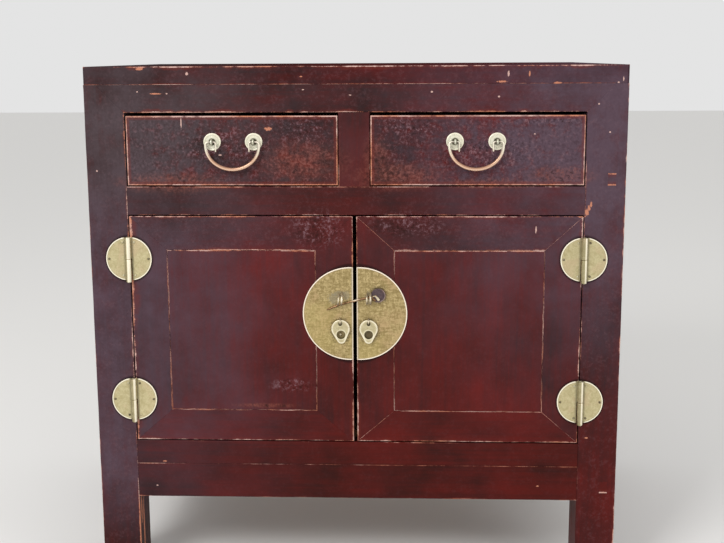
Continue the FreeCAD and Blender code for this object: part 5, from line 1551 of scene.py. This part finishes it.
@dataclass
class Pull:
    """A flat pear-shaped pull with a raised rim, a finger hole and an eye."""

    shop: Workshop
    at: Levels
    side: str
    high: float = 39.5
    head: float = 14.9
    foot: float = 7.0
    thick: float = 2.0
    eye_down: float = 7.5
    eye: float = 1.9
    hole_down: float = 24.7
    hole: float = 6.7

    def inside(self, spots: Array) -> Array:
        """How far points are inside the pear: two circles and the lines that touch both.

        Args:
            spots: Places about the top of the pear, of shape (..., 2).

        Returns:
            The distance to the outline, in millimetres, more than nothing inside.
        """
        gap = self.high - self.foot - self.head
        lean = (self.head - self.foot) / gap
        rise = math.sqrt(1 - lean ** 2)
        across = np.abs(spots[..., 0])
        down = -self.head - spots[..., 1]
        along = down * rise - across * lean
        side = self.head - (across * rise + down * lean)
        top = self.head - np.hypot(across, down)
        low = self.foot - np.hypot(across, down - gap)
        return np.where(along < 0, top, np.where(along > gap * rise, low, side))

    def edge_at(self, centre: float, angle: Array) -> Array:
        """Where rays from a place on the middle line leave the pear, found by halving.

        Args:
            centre: The rays' start below the pear's top.
            angle: Their directions.

        Returns:
            The distances along the rays.
        """
        low, high = np.zeros_like(angle), np.full_like(angle, self.high)
        for _ in range(40):
            middle = (low + high) / 2
            spots = np.stack([middle * np.cos(angle), centre + middle * np.sin(angle)], axis=-1)
            inside = self.inside(spots) > 0
            low, high = np.where(inside, middle, low), np.where(inside, high, middle)
        return low

    def ring_part(self, centre: float, hole: float, split: float) -> Surface:
        """One part of the pear round one of its holes, front, back, outer edge and hole wall.

        Rays from the hole's middle run out to the pear's edge or to the line that splits the two parts.

        Args:
            centre: The height of the hole's middle about the pear's top.
            hole: The hole's radius.
            split: The height of the line between the two parts.

        Returns:
            The part, rubbed bright with a painted highlight on its rims, dirty with painted shade in its hole
            and round its eye.
        """
        angle = np.linspace(0, 2 * math.pi, 96, endpoint=False)
        slope = np.sin(angle)
        cut = (split - centre) / np.where(np.abs(slope) < 1e-6, 1e-6, slope)
        outer = np.minimum(self.edge_at(centre, angle), np.where(cut > 0, cut, 1e9))
        share = np.array([0.0, 0.03, 0.1, 0.22, 0.4, 0.6, 0.78, 0.88, 0.94, 0.98, 1.0])
        distance = hole + (outer[None] - hole) * share[:, None]
        spots = np.stack([distance * np.cos(angle), centre + distance * np.sin(angle)], axis=-1)
        inside = np.maximum(self.inside(spots), 0.0)
        from_hole = distance - hole
        rim = 0.42 * bell(inside - 1.1, 0.8) + 0.3 * bell(from_hole - 1.0, 0.8)
        soft = np.minimum(1.0, np.sqrt(np.maximum(1 - (1 - np.minimum(inside, 0.7) / 0.7) ** 2, 0.0)) + 0.25)
        front = (self.thick / 2 - 0.25 + rim) * soft
        back = (0.2 - self.thick / 2) * soft
        rings = np.concatenate([front, back[::-1]])
        flat = np.concatenate([spots, spots[::-1]])
        points = np.stack([flat[..., 0], -rings, flat[..., 1]], axis=-1)
        count, around = rings.shape
        turn = np.arange(around)
        after = (turn + 1) % around
        last = (count - 1) * around
        faces = ring_faces(count, around)
        faces += [tuple(face) for face in np.stack([last + turn, last + after, after, turn], axis=1).tolist()]
        # rubbed bright with a painted highlight on the rims; dirty with painted shade in the hole and round
        # the eye
        crest = bell(inside - 1.2, 1.3) + 0.8 * bell(from_hole - 1.0, 0.9)
        eye = np.hypot(spots[..., 0], spots[..., 1] + self.eye_down - 0.8)
        tarnish_and_shading = 0.1 - 0.85 * crest + 1.2 * bell(from_hole, 0.5) + 1.8 * bell(eye, 3.4, 6)
        shape = Surface(points.reshape(-1, 3), faces).outward()
        return soiled_and_shaded(shape, np.concatenate([tarnish_and_shading, tarnish_and_shading[::-1]]).reshape(-1))

    def build(self) -> None:
        """Makes the pull, hanging from its staple; the left one hangs a little askew."""
        at = self.at
        hang = (at.pull_across(self.side), at.front - at.plate_face - at.pull_stand,
                at.lock_middle - at.pull_below)
        split = -(self.eye_down + self.eye + self.hole_down - self.hole) / 2 + 0.5
        parts = [self.ring_part(-self.eye_down, self.eye, split),
                 self.ring_part(-self.hole_down, self.hole, split)]
        lean = math.radians({"left": 4.0, "right": 0.0}[self.side])
        for part in parts:
            across, up = part.points[:, 0].copy(), part.points[:, 2] + self.eye_down
            part.points[:, 0] = across * math.cos(lean) - up * math.sin(lean)
            part.points[:, 2] = across * math.sin(lean) + up * math.cos(lean) - self.eye_down
            part.points = part.points + hang
        self.shop.piece(f"{self.side}_pear_pull", parts, "pull_brass", f"{self.side}_pull", "handle_brass",
                        f"{self.side}_pull")


@dataclass
class LatchPin:
    """The pin through the two latch staples, with a round head and its end bent over."""

    shop: Workshop
    at: Levels
    radius: float = 1.6
    head: float = 11.6
    across: float = 37.6
    above: float = 31.2

    def build(self) -> None:
        """Makes the pin lying on the left staple and sloping up to the right one."""
        at = self.at
        centre = np.array([self.across, at.lock_middle + self.above])
        level = at.front - at.plate_face - at.latch_stand
        curl = self.strand(centre, level - 1.9,
                           [(-8.0, -1.2), (-5.4, -0.9), (-3.6, -1.6), (-1.6, -4.2), (0.4, -6.6)],
                           [0.8, 0.9, 1.5, 2.2, 2.4])
        lump = self.strand(centre, level - 1.8, [(-9.4, -1.8), (-9.3, -4.4), (-7.4, -7.0), (-5.0, -7.6)],
                           [1.0, 1.5, 2.2, 1.6])
        lump = soiled_and_shaded(lump, 0.25 + 0.6 * np.clip((centre[1] - 5.0 - lump.points[:, 2]) / 4.0, -0.6, 1.0))
        shaft, disc = self.shaft(level), self.disc(centre, level)
        made = self.shop.piece("latch_pin_rod", [shaft, lump, curl, disc], "pin_bronze", "latch_pin",
                               "pin_bronze", "latch_pin")
        for finish in ("pin_copper", "bright_brass"):
            made.data.materials.append(self.shop.finishes[finish])
        index = np.repeat([1, 2, 0], [len(shaft.faces) + len(lump.faces), len(curl.faces), len(disc.faces)])
        made.data.polygons.foreach_set("material_index", index)

    def shaft(self, level: float) -> Surface:
        """The slightly bent rod, with a painted highlight along its top and over its middle, painted shade
        under it, and dark at its thin end.
        """
        spots = np.array([(-44.4, 7.0), (-40.0, 9.2), (-33.0, 12.2), (-25.2, 15.2), (-12.0, 19.0),
                          (0.0, 22.2), (12.0, 25.0), (22.0, 27.2), (30.0, 29.4), (34.0, 30.6)])
        flat = smooth_path(spots + (0.0, self.at.lock_middle), 1.0)
        thick = np.interp(np.linspace(0, 1, len(flat)), [0.0, 0.05, 0.14, 1.0], [0.8, 1.2, 1.5, 1.6])
        shape = tube(on_front(flat, level), thick, (0, 1, 0), 16)
        across, up = shape.points[:, 0], shape.points[:, 2]
        above = (up - np.interp(across, flat[:, 0], flat[:, 1])) / self.radius
        along = np.hypot(across - flat[0, 0], up - flat[0, 1])
        return soiled_and_shaded(shape, 0.45 - 0.6 * above + 0.5 * np.exp(-along / 5.0) - 0.7 * bell(across - 1.0, 6.0))

    def disc(self, centre: Array, level: float) -> Surface:
        """The round head with its raised rim, with a painted highlight on the rim, strongest on the right."""
        r = self.head
        profile = [(1.0, 1.5), (r * 0.9, 1.4), (r * 0.985, 1.0), (r, 0.3), (r * 0.99, -0.9),
                   (r * 0.95, -1.45), (r * 0.89, -1.55), (r * 0.84, -1.25), (r * 0.78, -0.95),
                   (r * 0.5, -1.1), (r * 0.2, -1.25), (0.6, -1.25)]
        shape = lathe(profile, (centre[0], level, centre[1]), (0, 1, 0), 56)
        across, up = (shape.points[:, 0] - centre[0]) / r, (shape.points[:, 2] - centre[1]) / r
        rim = bell(np.hypot(across, up) - 0.95, 0.07) * np.clip(0.5 + 0.7 * across - 0.3 * up, 0.0, 1.0)
        return soiled_and_shaded(shape, 0.15 - rim)

    @staticmethod
    def strand(centre: Array, level: float, spots: Spots, thick: Sequence[float]) -> Surface:
        """A bent end of the split pin, lying on its head.

        Args:
            centre: The head's middle, across and up.
            level: Where the strand's middle line is along y.
            spots: Places of the line about the head's middle.
            thick: The strand's radius at even steps.

        Returns:
            The strand.
        """
        bend = smooth_path(np.array(spots), 0.5)
        radius = np.interp(np.linspace(0, 1, len(bend)), np.linspace(0, 1, len(thick)), thick)
        return tube(on_front(bend + centre, level), radius, (0, 1, 0), 14)


@dataclass
class Handle:
    """A drawer handle: two round rosettes, two eyed posts and a hanging bail."""

    shop: Workshop
    at: Levels
    side: str
    spread: float = 32.8
    from_middle: float = 190.7
    below: float = 45.8
    stand: float = 8.0
    half: float = 42.0
    drop: float = 43.0
    through: float = 23.7
    clinch: float = 7.5
    bail_round: int = 22
    tail_from: float = 27.0

    def build(self, face: float) -> None:
        """Makes the handle on a drawer's face.

        Args:
            face: Where the drawer's face is along y.
        """
        body = f"{self.side}_drawer"
        x, z = self.from_middle * SIDES[self.side], self.at.bay_top - self.below
        rosettes, posts = [], []
        for spot in (x - self.spread, x + self.spread):
            rosettes.append(self.rosette(spot, face, z))
            posts += self.post(spot, face, z)
        bail = [self.bail(x, face - self.stand, z)]
        for name, shapes, finish, carrier, node in (
                ("rosettes", rosettes, "handle_brass", body, "rosettes"),
                ("eyes", posts, "handle_brass", body, "handle_posts"),
                ("bail", bail, "bail_brass", f"{self.side}_bail", "bail")):
            self.shop.piece(f"{body}_handle_{name}", shapes, finish, carrier, "handle_brass",
                            f"{body}_{node}")

    @staticmethod
    def rosette(x: float, face: float, z: float) -> Surface:
        """A round plate with an upset rim and a low dome in its middle."""
        profile = [(2.4, 0.0), (13.4, 0.0), (13.8, -0.3), (13.8, -1.0), (13.5, -1.6), (12.9, -1.9),
                   (12.2, -1.9), (11.5, -1.6), (10.5, -1.5), (8.5, -1.6), (7.0, -1.8), (5.6, -2.0),
                   (5.0, -1.9), (4.6, -1.2), (3.8, -0.6), (2.4, -0.4)]
        shape = lathe(profile, (x, face, z), (0, 1, 0), 48)
        away = np.hypot(shape.points[:, 0] - x, shape.points[:, 2] - z)
        # darker in the middle round the eye and at the rim's foot; rubbed bright with a painted highlight on
        # the rim
        return soiled_and_shaded(shape, 1.5 * bell(away, 5.8, 6) + 0.4 * bell(away - 10.8, 0.7) - 0.25
                      - 0.5 * bell(away - 12.9, 0.8))

    def post(self, x: float, face: float, z: float) -> list[Surface]:
        """An eye of two strands with its shank, bent over behind the drawer's front."""
        centre, back = face - self.stand, face + self.through
        loop = smooth_path(arc((centre, z), 3.15, 28, 332, 40), 0.5)
        eye = tube(np.insert(loop, 0, x, axis=1), 1.35, (1, 0, 0), 14, 1.55)
        # painted highlight down the middle of the eye's wire, darker at its sides
        eye = soiled_and_shaded(eye, 0.85 - 0.8 * bell(eye.points[:, 0] - x, 1.1))
        stem = lathe([(0.8, centre + 3.0), (1.9, centre + 3.3), (2.1, centre + 4.5), (2.1, back + 0.3),
                      (0.8, back + 0.7)], (x, 0, z), (0, 1, 0), 20)
        stem = soiled_and_shaded(stem, np.full(len(stem.points), 0.8))
        line = np.stack([np.full(20, x), z + np.linspace(-self.clinch, self.clinch, 20)], axis=1)
        return [eye, stem, tube(on_front(line, back), 1.3, (1, 0, 0), 12)]

    def bail_line(self) -> Array:
        """The bail's middle line about the middle of its eyes, from tail to tail."""
        big, small, shoulder, bend, tail = 46.0, 36.0, 4.0, 2.6, 11.6
        tail_x = self.spread - 6.2
        swing = math.degrees(math.asin((self.half - small) / (big - small)))
        side_z = big - self.drop - (big - small) * math.cos(math.radians(swing))
        half = np.concatenate([np.array([[-tail_x, -bend - tail], [-tail_x, -bend]]),
                               arc((-tail_x - bend, -bend), bend, 0, 90, 8),
                               arc((shoulder - self.half, -shoulder), shoulder, 90, 180, 10),
                               arc((small - self.half, side_z), small, 180, 270 - swing, 20),
                               arc((0.0, big - self.drop), big, 270 - swing, 270, 20)])
        return np.concatenate([half, half[::-1] * (-1, 1)])

    def bail(self, x: float, y: float, z: float) -> Surface:
        """The bail: thick below, slimmer up its sides, thin in the eyes."""
        path = on_front(smooth_path(self.bail_line(), 0.9) + (x, z), y)
        place = np.concatenate([[0], np.cumsum(np.linalg.norm(np.diff(path, axis=0), axis=1))])
        half = place[-1] / 2
        eye = half - self.tail_from
        thick = np.interp(np.abs(place - half), [0, 20, 45, eye - 6, eye + 1.5, eye + 5, half - 8, half],
                          [2.8, 2.75, 2.5, 2.25, 1.75, 1.65, 1.6, 1.35])
        around = self.bail_round
        shape = tube(path, thick, (0, 1, 0), around)
        across, up = shape.points[:, 0] - x, shape.points[:, 2] - z
        depth = (shape.points[:, 1] - y) / 2.6
        turn = np.sin(np.linspace(0, 2 * math.pi, around, endpoint=False))
        turn = np.append(np.tile(turn, (len(shape.points) - 2) // around), [0.0, 0.0])
        # painted highlight along one crest of the wire, stronger higher up; painted shade on its other side
        # and its back; darker where it passes the eyes
        height = np.clip((up + 30.0) / 30.0, 0.0, 1.0)
        crest = bell(turn + 0.3, 0.36) * (depth < 0.2)
        state = 0.2 - (0.5 + 0.6 * height) * crest + 0.5 * np.maximum(turn, 0.0) - 0.35 * height
        state += 0.8 * np.maximum(depth, 0.0) + 1.1 * bell(np.hypot(np.abs(across) - self.spread, up), 6.0, 4)
        warm = np.clip((-10.0 - up) / 18.0, 0.0, 1.0)
        return soiled_and_shaded(shape, state, warm * (1.0 - 0.2 * crest))


@dataclass
class Drawer:
    """A drawer: its lapped front, its box and its handle."""

    shop: Workshop
    at: Levels
    side: str
    thick: float = 12.0
    back_up: float = 16.0
    floor_in: float = 5.0

    def build(self) -> None:
        """Makes the drawer and its handle."""
        shop, body, thick, inset = self.shop, f"{self.side}_drawer", self.thick, self.floor_in
        low, high = shop.box(f"{body}_front")
        front = Board(rectangle(low[0], high[0], low[2], high[2]), low[1], high[1] - low[1],
                      edges=[1.4] * 4, corner=0.8, seed=401 + SIDES[self.side])
        shop.lacquered(f"{body}_front_wood", [front], f"{body}_front", Tint(0.33, 1.15, 0.52, 2.2, 1.0), body)
        face_level, start = low[1], high[1] + 0.1
        low, high = shop.box(f"{body}_sides_and_back")
        boards = [plain_board(rectangle(start, high[1], low[2], high[2]), level, thick, face, 0.8, seed=411)
                  for level, face in ((low[0], Face.LEFT), (high[0], Face.RIGHT))]
        boards.append(plain_board(rectangle(low[0] + thick, high[0] - thick, low[2] + self.back_up, high[2]),
                                  high[1], thick, Face.BACK, 0.8, seed=413))
        shop.bare(f"{body}_box", boards, f"{body}_sides_and_back", body)
        low, high = shop.box(f"{body}_bottom")
        floor = plain_board(rectangle(low[0] + inset, high[0] - inset, low[1] + inset, high[1]), high[2],
                            high[2] - low[2], Face.UP, seed=415)
        shop.bare(f"{body}_floor", [floor], f"{body}_bottom", body)
        Handle(shop, self.at, self.side).build(face_level)


# Studio


@dataclass
class Studio:
    """Floor, light and the camera at the photograph's angle."""

    floor_colour: Colour = (0.80, 0.79, 0.77)
    floor_reach: float = 14000.0
    sky: Colour = (1.0, 1.0, 1.0)
    sky_strength: float = 0.62 * LIGHT
    eye: Point = (69.3, -1575.9, 15.1)
    yaw: float = -2.08
    pitch: float = 8.90
    roll: float = -0.28
    pixels: float = 1008.3
    image_wide: float = 724.0
    film_wide: float = 36.0

    def build(self, at: Levels) -> None:
        """Makes the floor, the lights, the world and the camera.

        Args:
            at: The case's planes.
        """
        self.floor()
        self.world()
        self.lamp("key", (-1500.0, -2300.0, 2400.0), (0.0, 0.0, 450.0), 1100.0, 44.0 * LIGHT)
        self.lamp("fill", (2100.0, -1500.0, 1300.0), (0.0, 0.0, 400.0), 1200.0, 9.0 * LIGHT)
        self.camera(at)

    def floor(self) -> None:
        """A wide pale floor."""
        reach = self.floor_reach * METRES
        mesh = bpy.data.meshes.new("floor")
        mesh.from_pydata([(x, y, 0) for x, y in rectangle(-reach, reach, -reach, reach)], [], [(0, 1, 2, 3)])
        material, graph, shader = new_material("pale_floor")
        graph.feed(shader.inputs["Base Color"], self.floor_colour)
        shader.inputs["Roughness"].default_value = 0.9
        mesh.materials.append(material)
        plane = bpy.data.objects.new("floor", mesh)
        bpy.context.scene.collection.objects.link(plane)

    def world(self) -> None:
        """An even pale sky."""
        world = bpy.data.worlds.new("soft_sky")
        world.use_nodes = True
        background = world.node_tree.nodes["Background"]
        background.inputs["Color"].default_value = (*self.sky, 1.0)
        background.inputs["Strength"].default_value = self.sky_strength
        bpy.context.scene.world = world

    @staticmethod
    def lamp(name: str, place: Point, target: Point, size: float, power: float) -> None:
        """A square soft lamp that looks at a point.

        Args:
            name: The lamp's name.
            place: Where it stands.
            target: The point it looks at.
            size: Its width.
            power: Its strength in watts.
        """
        data = bpy.data.lights.new(name, "AREA")
        data.shape = "SQUARE"
        data.size = size * METRES
        data.energy = power
        lamp = bpy.data.objects.new(name, data)
        lamp.location = Vector(place) * METRES
        lamp.rotation_euler = (Vector(target) - Vector(place)).to_track_quat("-Z", "Y").to_euler()
        bpy.context.scene.collection.objects.link(lamp)

    def camera(self, at: Levels) -> None:
        """The camera where the photograph was taken from, as its straight edges tell.

        Args:
            at: The case's planes.
        """
        yaw, pitch, roll = (math.radians(angle) for angle in (self.yaw, self.pitch, self.roll))
        ahead = np.array([math.sin(yaw) * math.cos(pitch), math.cos(yaw) * math.cos(pitch), -math.sin(pitch)])
        right = np.array([math.cos(yaw), -math.sin(yaw), 0.0])
        up = np.cross(right, ahead)
        turned_right = math.cos(roll) * right + math.sin(roll) * up
        turned_up = -math.sin(roll) * right + math.cos(roll) * up
        data = bpy.data.cameras.new("camera")
        data.sensor_width = self.film_wide
        data.lens = self.pixels / self.image_wide * data.sensor_width
        data.shift_y = -0.08
        data.clip_end = 100.0
        camera = bpy.data.objects.new("camera", data)
        spot = np.array([self.eye[0], at.front + self.eye[1], at.top + self.eye[2]]) * METRES
        turn = Matrix(np.stack([turned_right, turned_up, -ahead], axis=1).tolist())
        camera.matrix_world = Matrix.Translation(Vector(spot.tolist())) @ turn.to_4x4()
        bpy.context.scene.collection.objects.link(camera)
        bpy.context.scene.camera = camera


def metal(name: str, bright: Tone, dull: Tone, patch: Tone, dirt_and_shade: Tone, **more) -> Metal:
    """A metal from its four tones as they are seen on a screen, and its other fields."""
    return Metal(name, *(linear(*tone) for tone in (bright, dull, patch, dirt_and_shade)), **more)


def finishes(at: Levels) -> list[Lacquer | BareWood | Metal]:
    """Every finish of the cabinet.

    Args:
        at: The case's planes.

    Returns:
        The finishes, each under its own name.
    """
    return [
        Lacquer(front=at.front, top=at.top, rings=grime_and_shade_rings(at)),
        BareWood(),
        BareWood("runner_wood", by_place=True),
        metal("plate_brass", (220, 196, 140), (154, 132, 80), (204, 172, 124), (92, 78, 52),
              # grey patches round the latch staples, partly painted shade; painted shadows behind the pulls,
              # in the right pull's hole and under the pin's head
              stains=chips((-34, 25, 9.5, 9.5), (-25, 33, 10, 5), (-14, 30, 6, 8), (22.4, 26, 6.5, 11.5)),
              shadows=chips((22.3, -34.5, 8.5, 8), (22.4, -40.5, 6.5, 1.6), (-23.4, -27.5, 17.6, 20.6),
                            (21.9, -27.5, 17.6, 20.6), (37.6, 31.2, 14.4, 14.4)),
              front=at.front - 1.4, middle=at.lock_middle, has_rim=True, metallic=0.45, cloud_large=22.0,
              cloud_small=240.0, brushed=0.8, hatch=380.0, rim=linear(274, 258, 236), zoned=0.3,
              cut_edge=3.0),
        metal("pale_brass_rimmed", (226, 214, 168), (196, 182, 134), (222, 198, 158), (88, 80, 58),
              cloud_large=34.0, has_rim=True, metallic=0.5, shaded_axis=at.hinge_axis),
        metal("pale_brass", (232, 226, 196), (190, 178, 138), (216, 200, 160), (84, 68, 42),
              cloud_large=60.0, speckle=0.2, metallic=0.5),
        metal("handle_brass", (262, 260, 240), (230, 228, 200), (246, 238, 212), (66, 62, 30),
              cloud_large=22.0, speckle=0.1, rough=0.3, metallic=0.4),
        metal("bail_brass", (250, 244, 226), (216, 208, 188), (236, 222, 204), (104, 76, 62),
              cloud_large=30.0, speckle=0.1, rough=0.28, metallic=0.4),
        metal("pull_brass", (232, 220, 178), (206, 192, 148), (220, 202, 164), (74, 70, 46),
              cloud_large=50.0, speckle=0.12, rough=0.3, metallic=0.45),
        metal("bright_brass", (244, 230, 204), (214, 196, 156), (232, 206, 176), (96, 72, 52),
              cloud_large=50.0, speckle=0.12, rough=0.3, metallic=0.45),
        metal("pin_bronze", (116, 96, 98), (80, 62, 66), (128, 88, 80), (40, 30, 32),
              cloud_large=70.0, cloud_small=260.0, rough=0.34, metallic=0.45, rim=linear(186, 160, 148)),
        metal("pin_copper", (184, 140, 94), (138, 102, 62), (180, 132, 92), (84, 46, 32),
              cloud_large=90.0, rough=0.3, metallic=0.5),
    ]


def grime_and_shade_rings(at: Levels) -> tuple[tuple[float, float, float], ...]:
    """The middles and radii of the round brass plates, round which the lacquer is darkened by dirtiness and
    painted shadow.
    """
    rings = [(0.0, at.lock_middle, 80.5)]
    for sign in SIDES.values():
        rings += [(at.hinge_axis * sign, height, 36.7) for height in at.hinge_heights()]
    return tuple(rings)


def dress_solids(shop: Workshop) -> None:
    """Gives the drawer runners, solids that stay visible, a finish of their own."""
    solid = shop.frame["nodes"]["drawer_runners"]
    solid.data.materials.clear()
    solid.data.materials.append(shop.finishes["runner_wood"])


def main() -> None:
    """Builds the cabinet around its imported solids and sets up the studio."""
    logging.basicConfig(level=logging.INFO, format="%(message)s")
    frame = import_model()
    at = Levels.read()
    shop = Workshop(frame)
    for kind in finishes(at):
        shop.finish(kind)
    Carcass(shop, at).build()
    Top(shop, at).build()
    hinges = Hinges(shop, at)
    hinges.build()
    for side in SIDES:
        Door(shop, at, side).build(hinges)
        Pull(shop, at, side).build()
        Drawer(shop, at, side).build()
    LatchPin(shop, at).build()
    dress_solids(shop)
    Studio().build(at)
    bpy.context.scene.view_settings.view_transform = "Standard"
    log.info("%d pieces", shop.pieces)


if __name__ == "__main__":
    main()
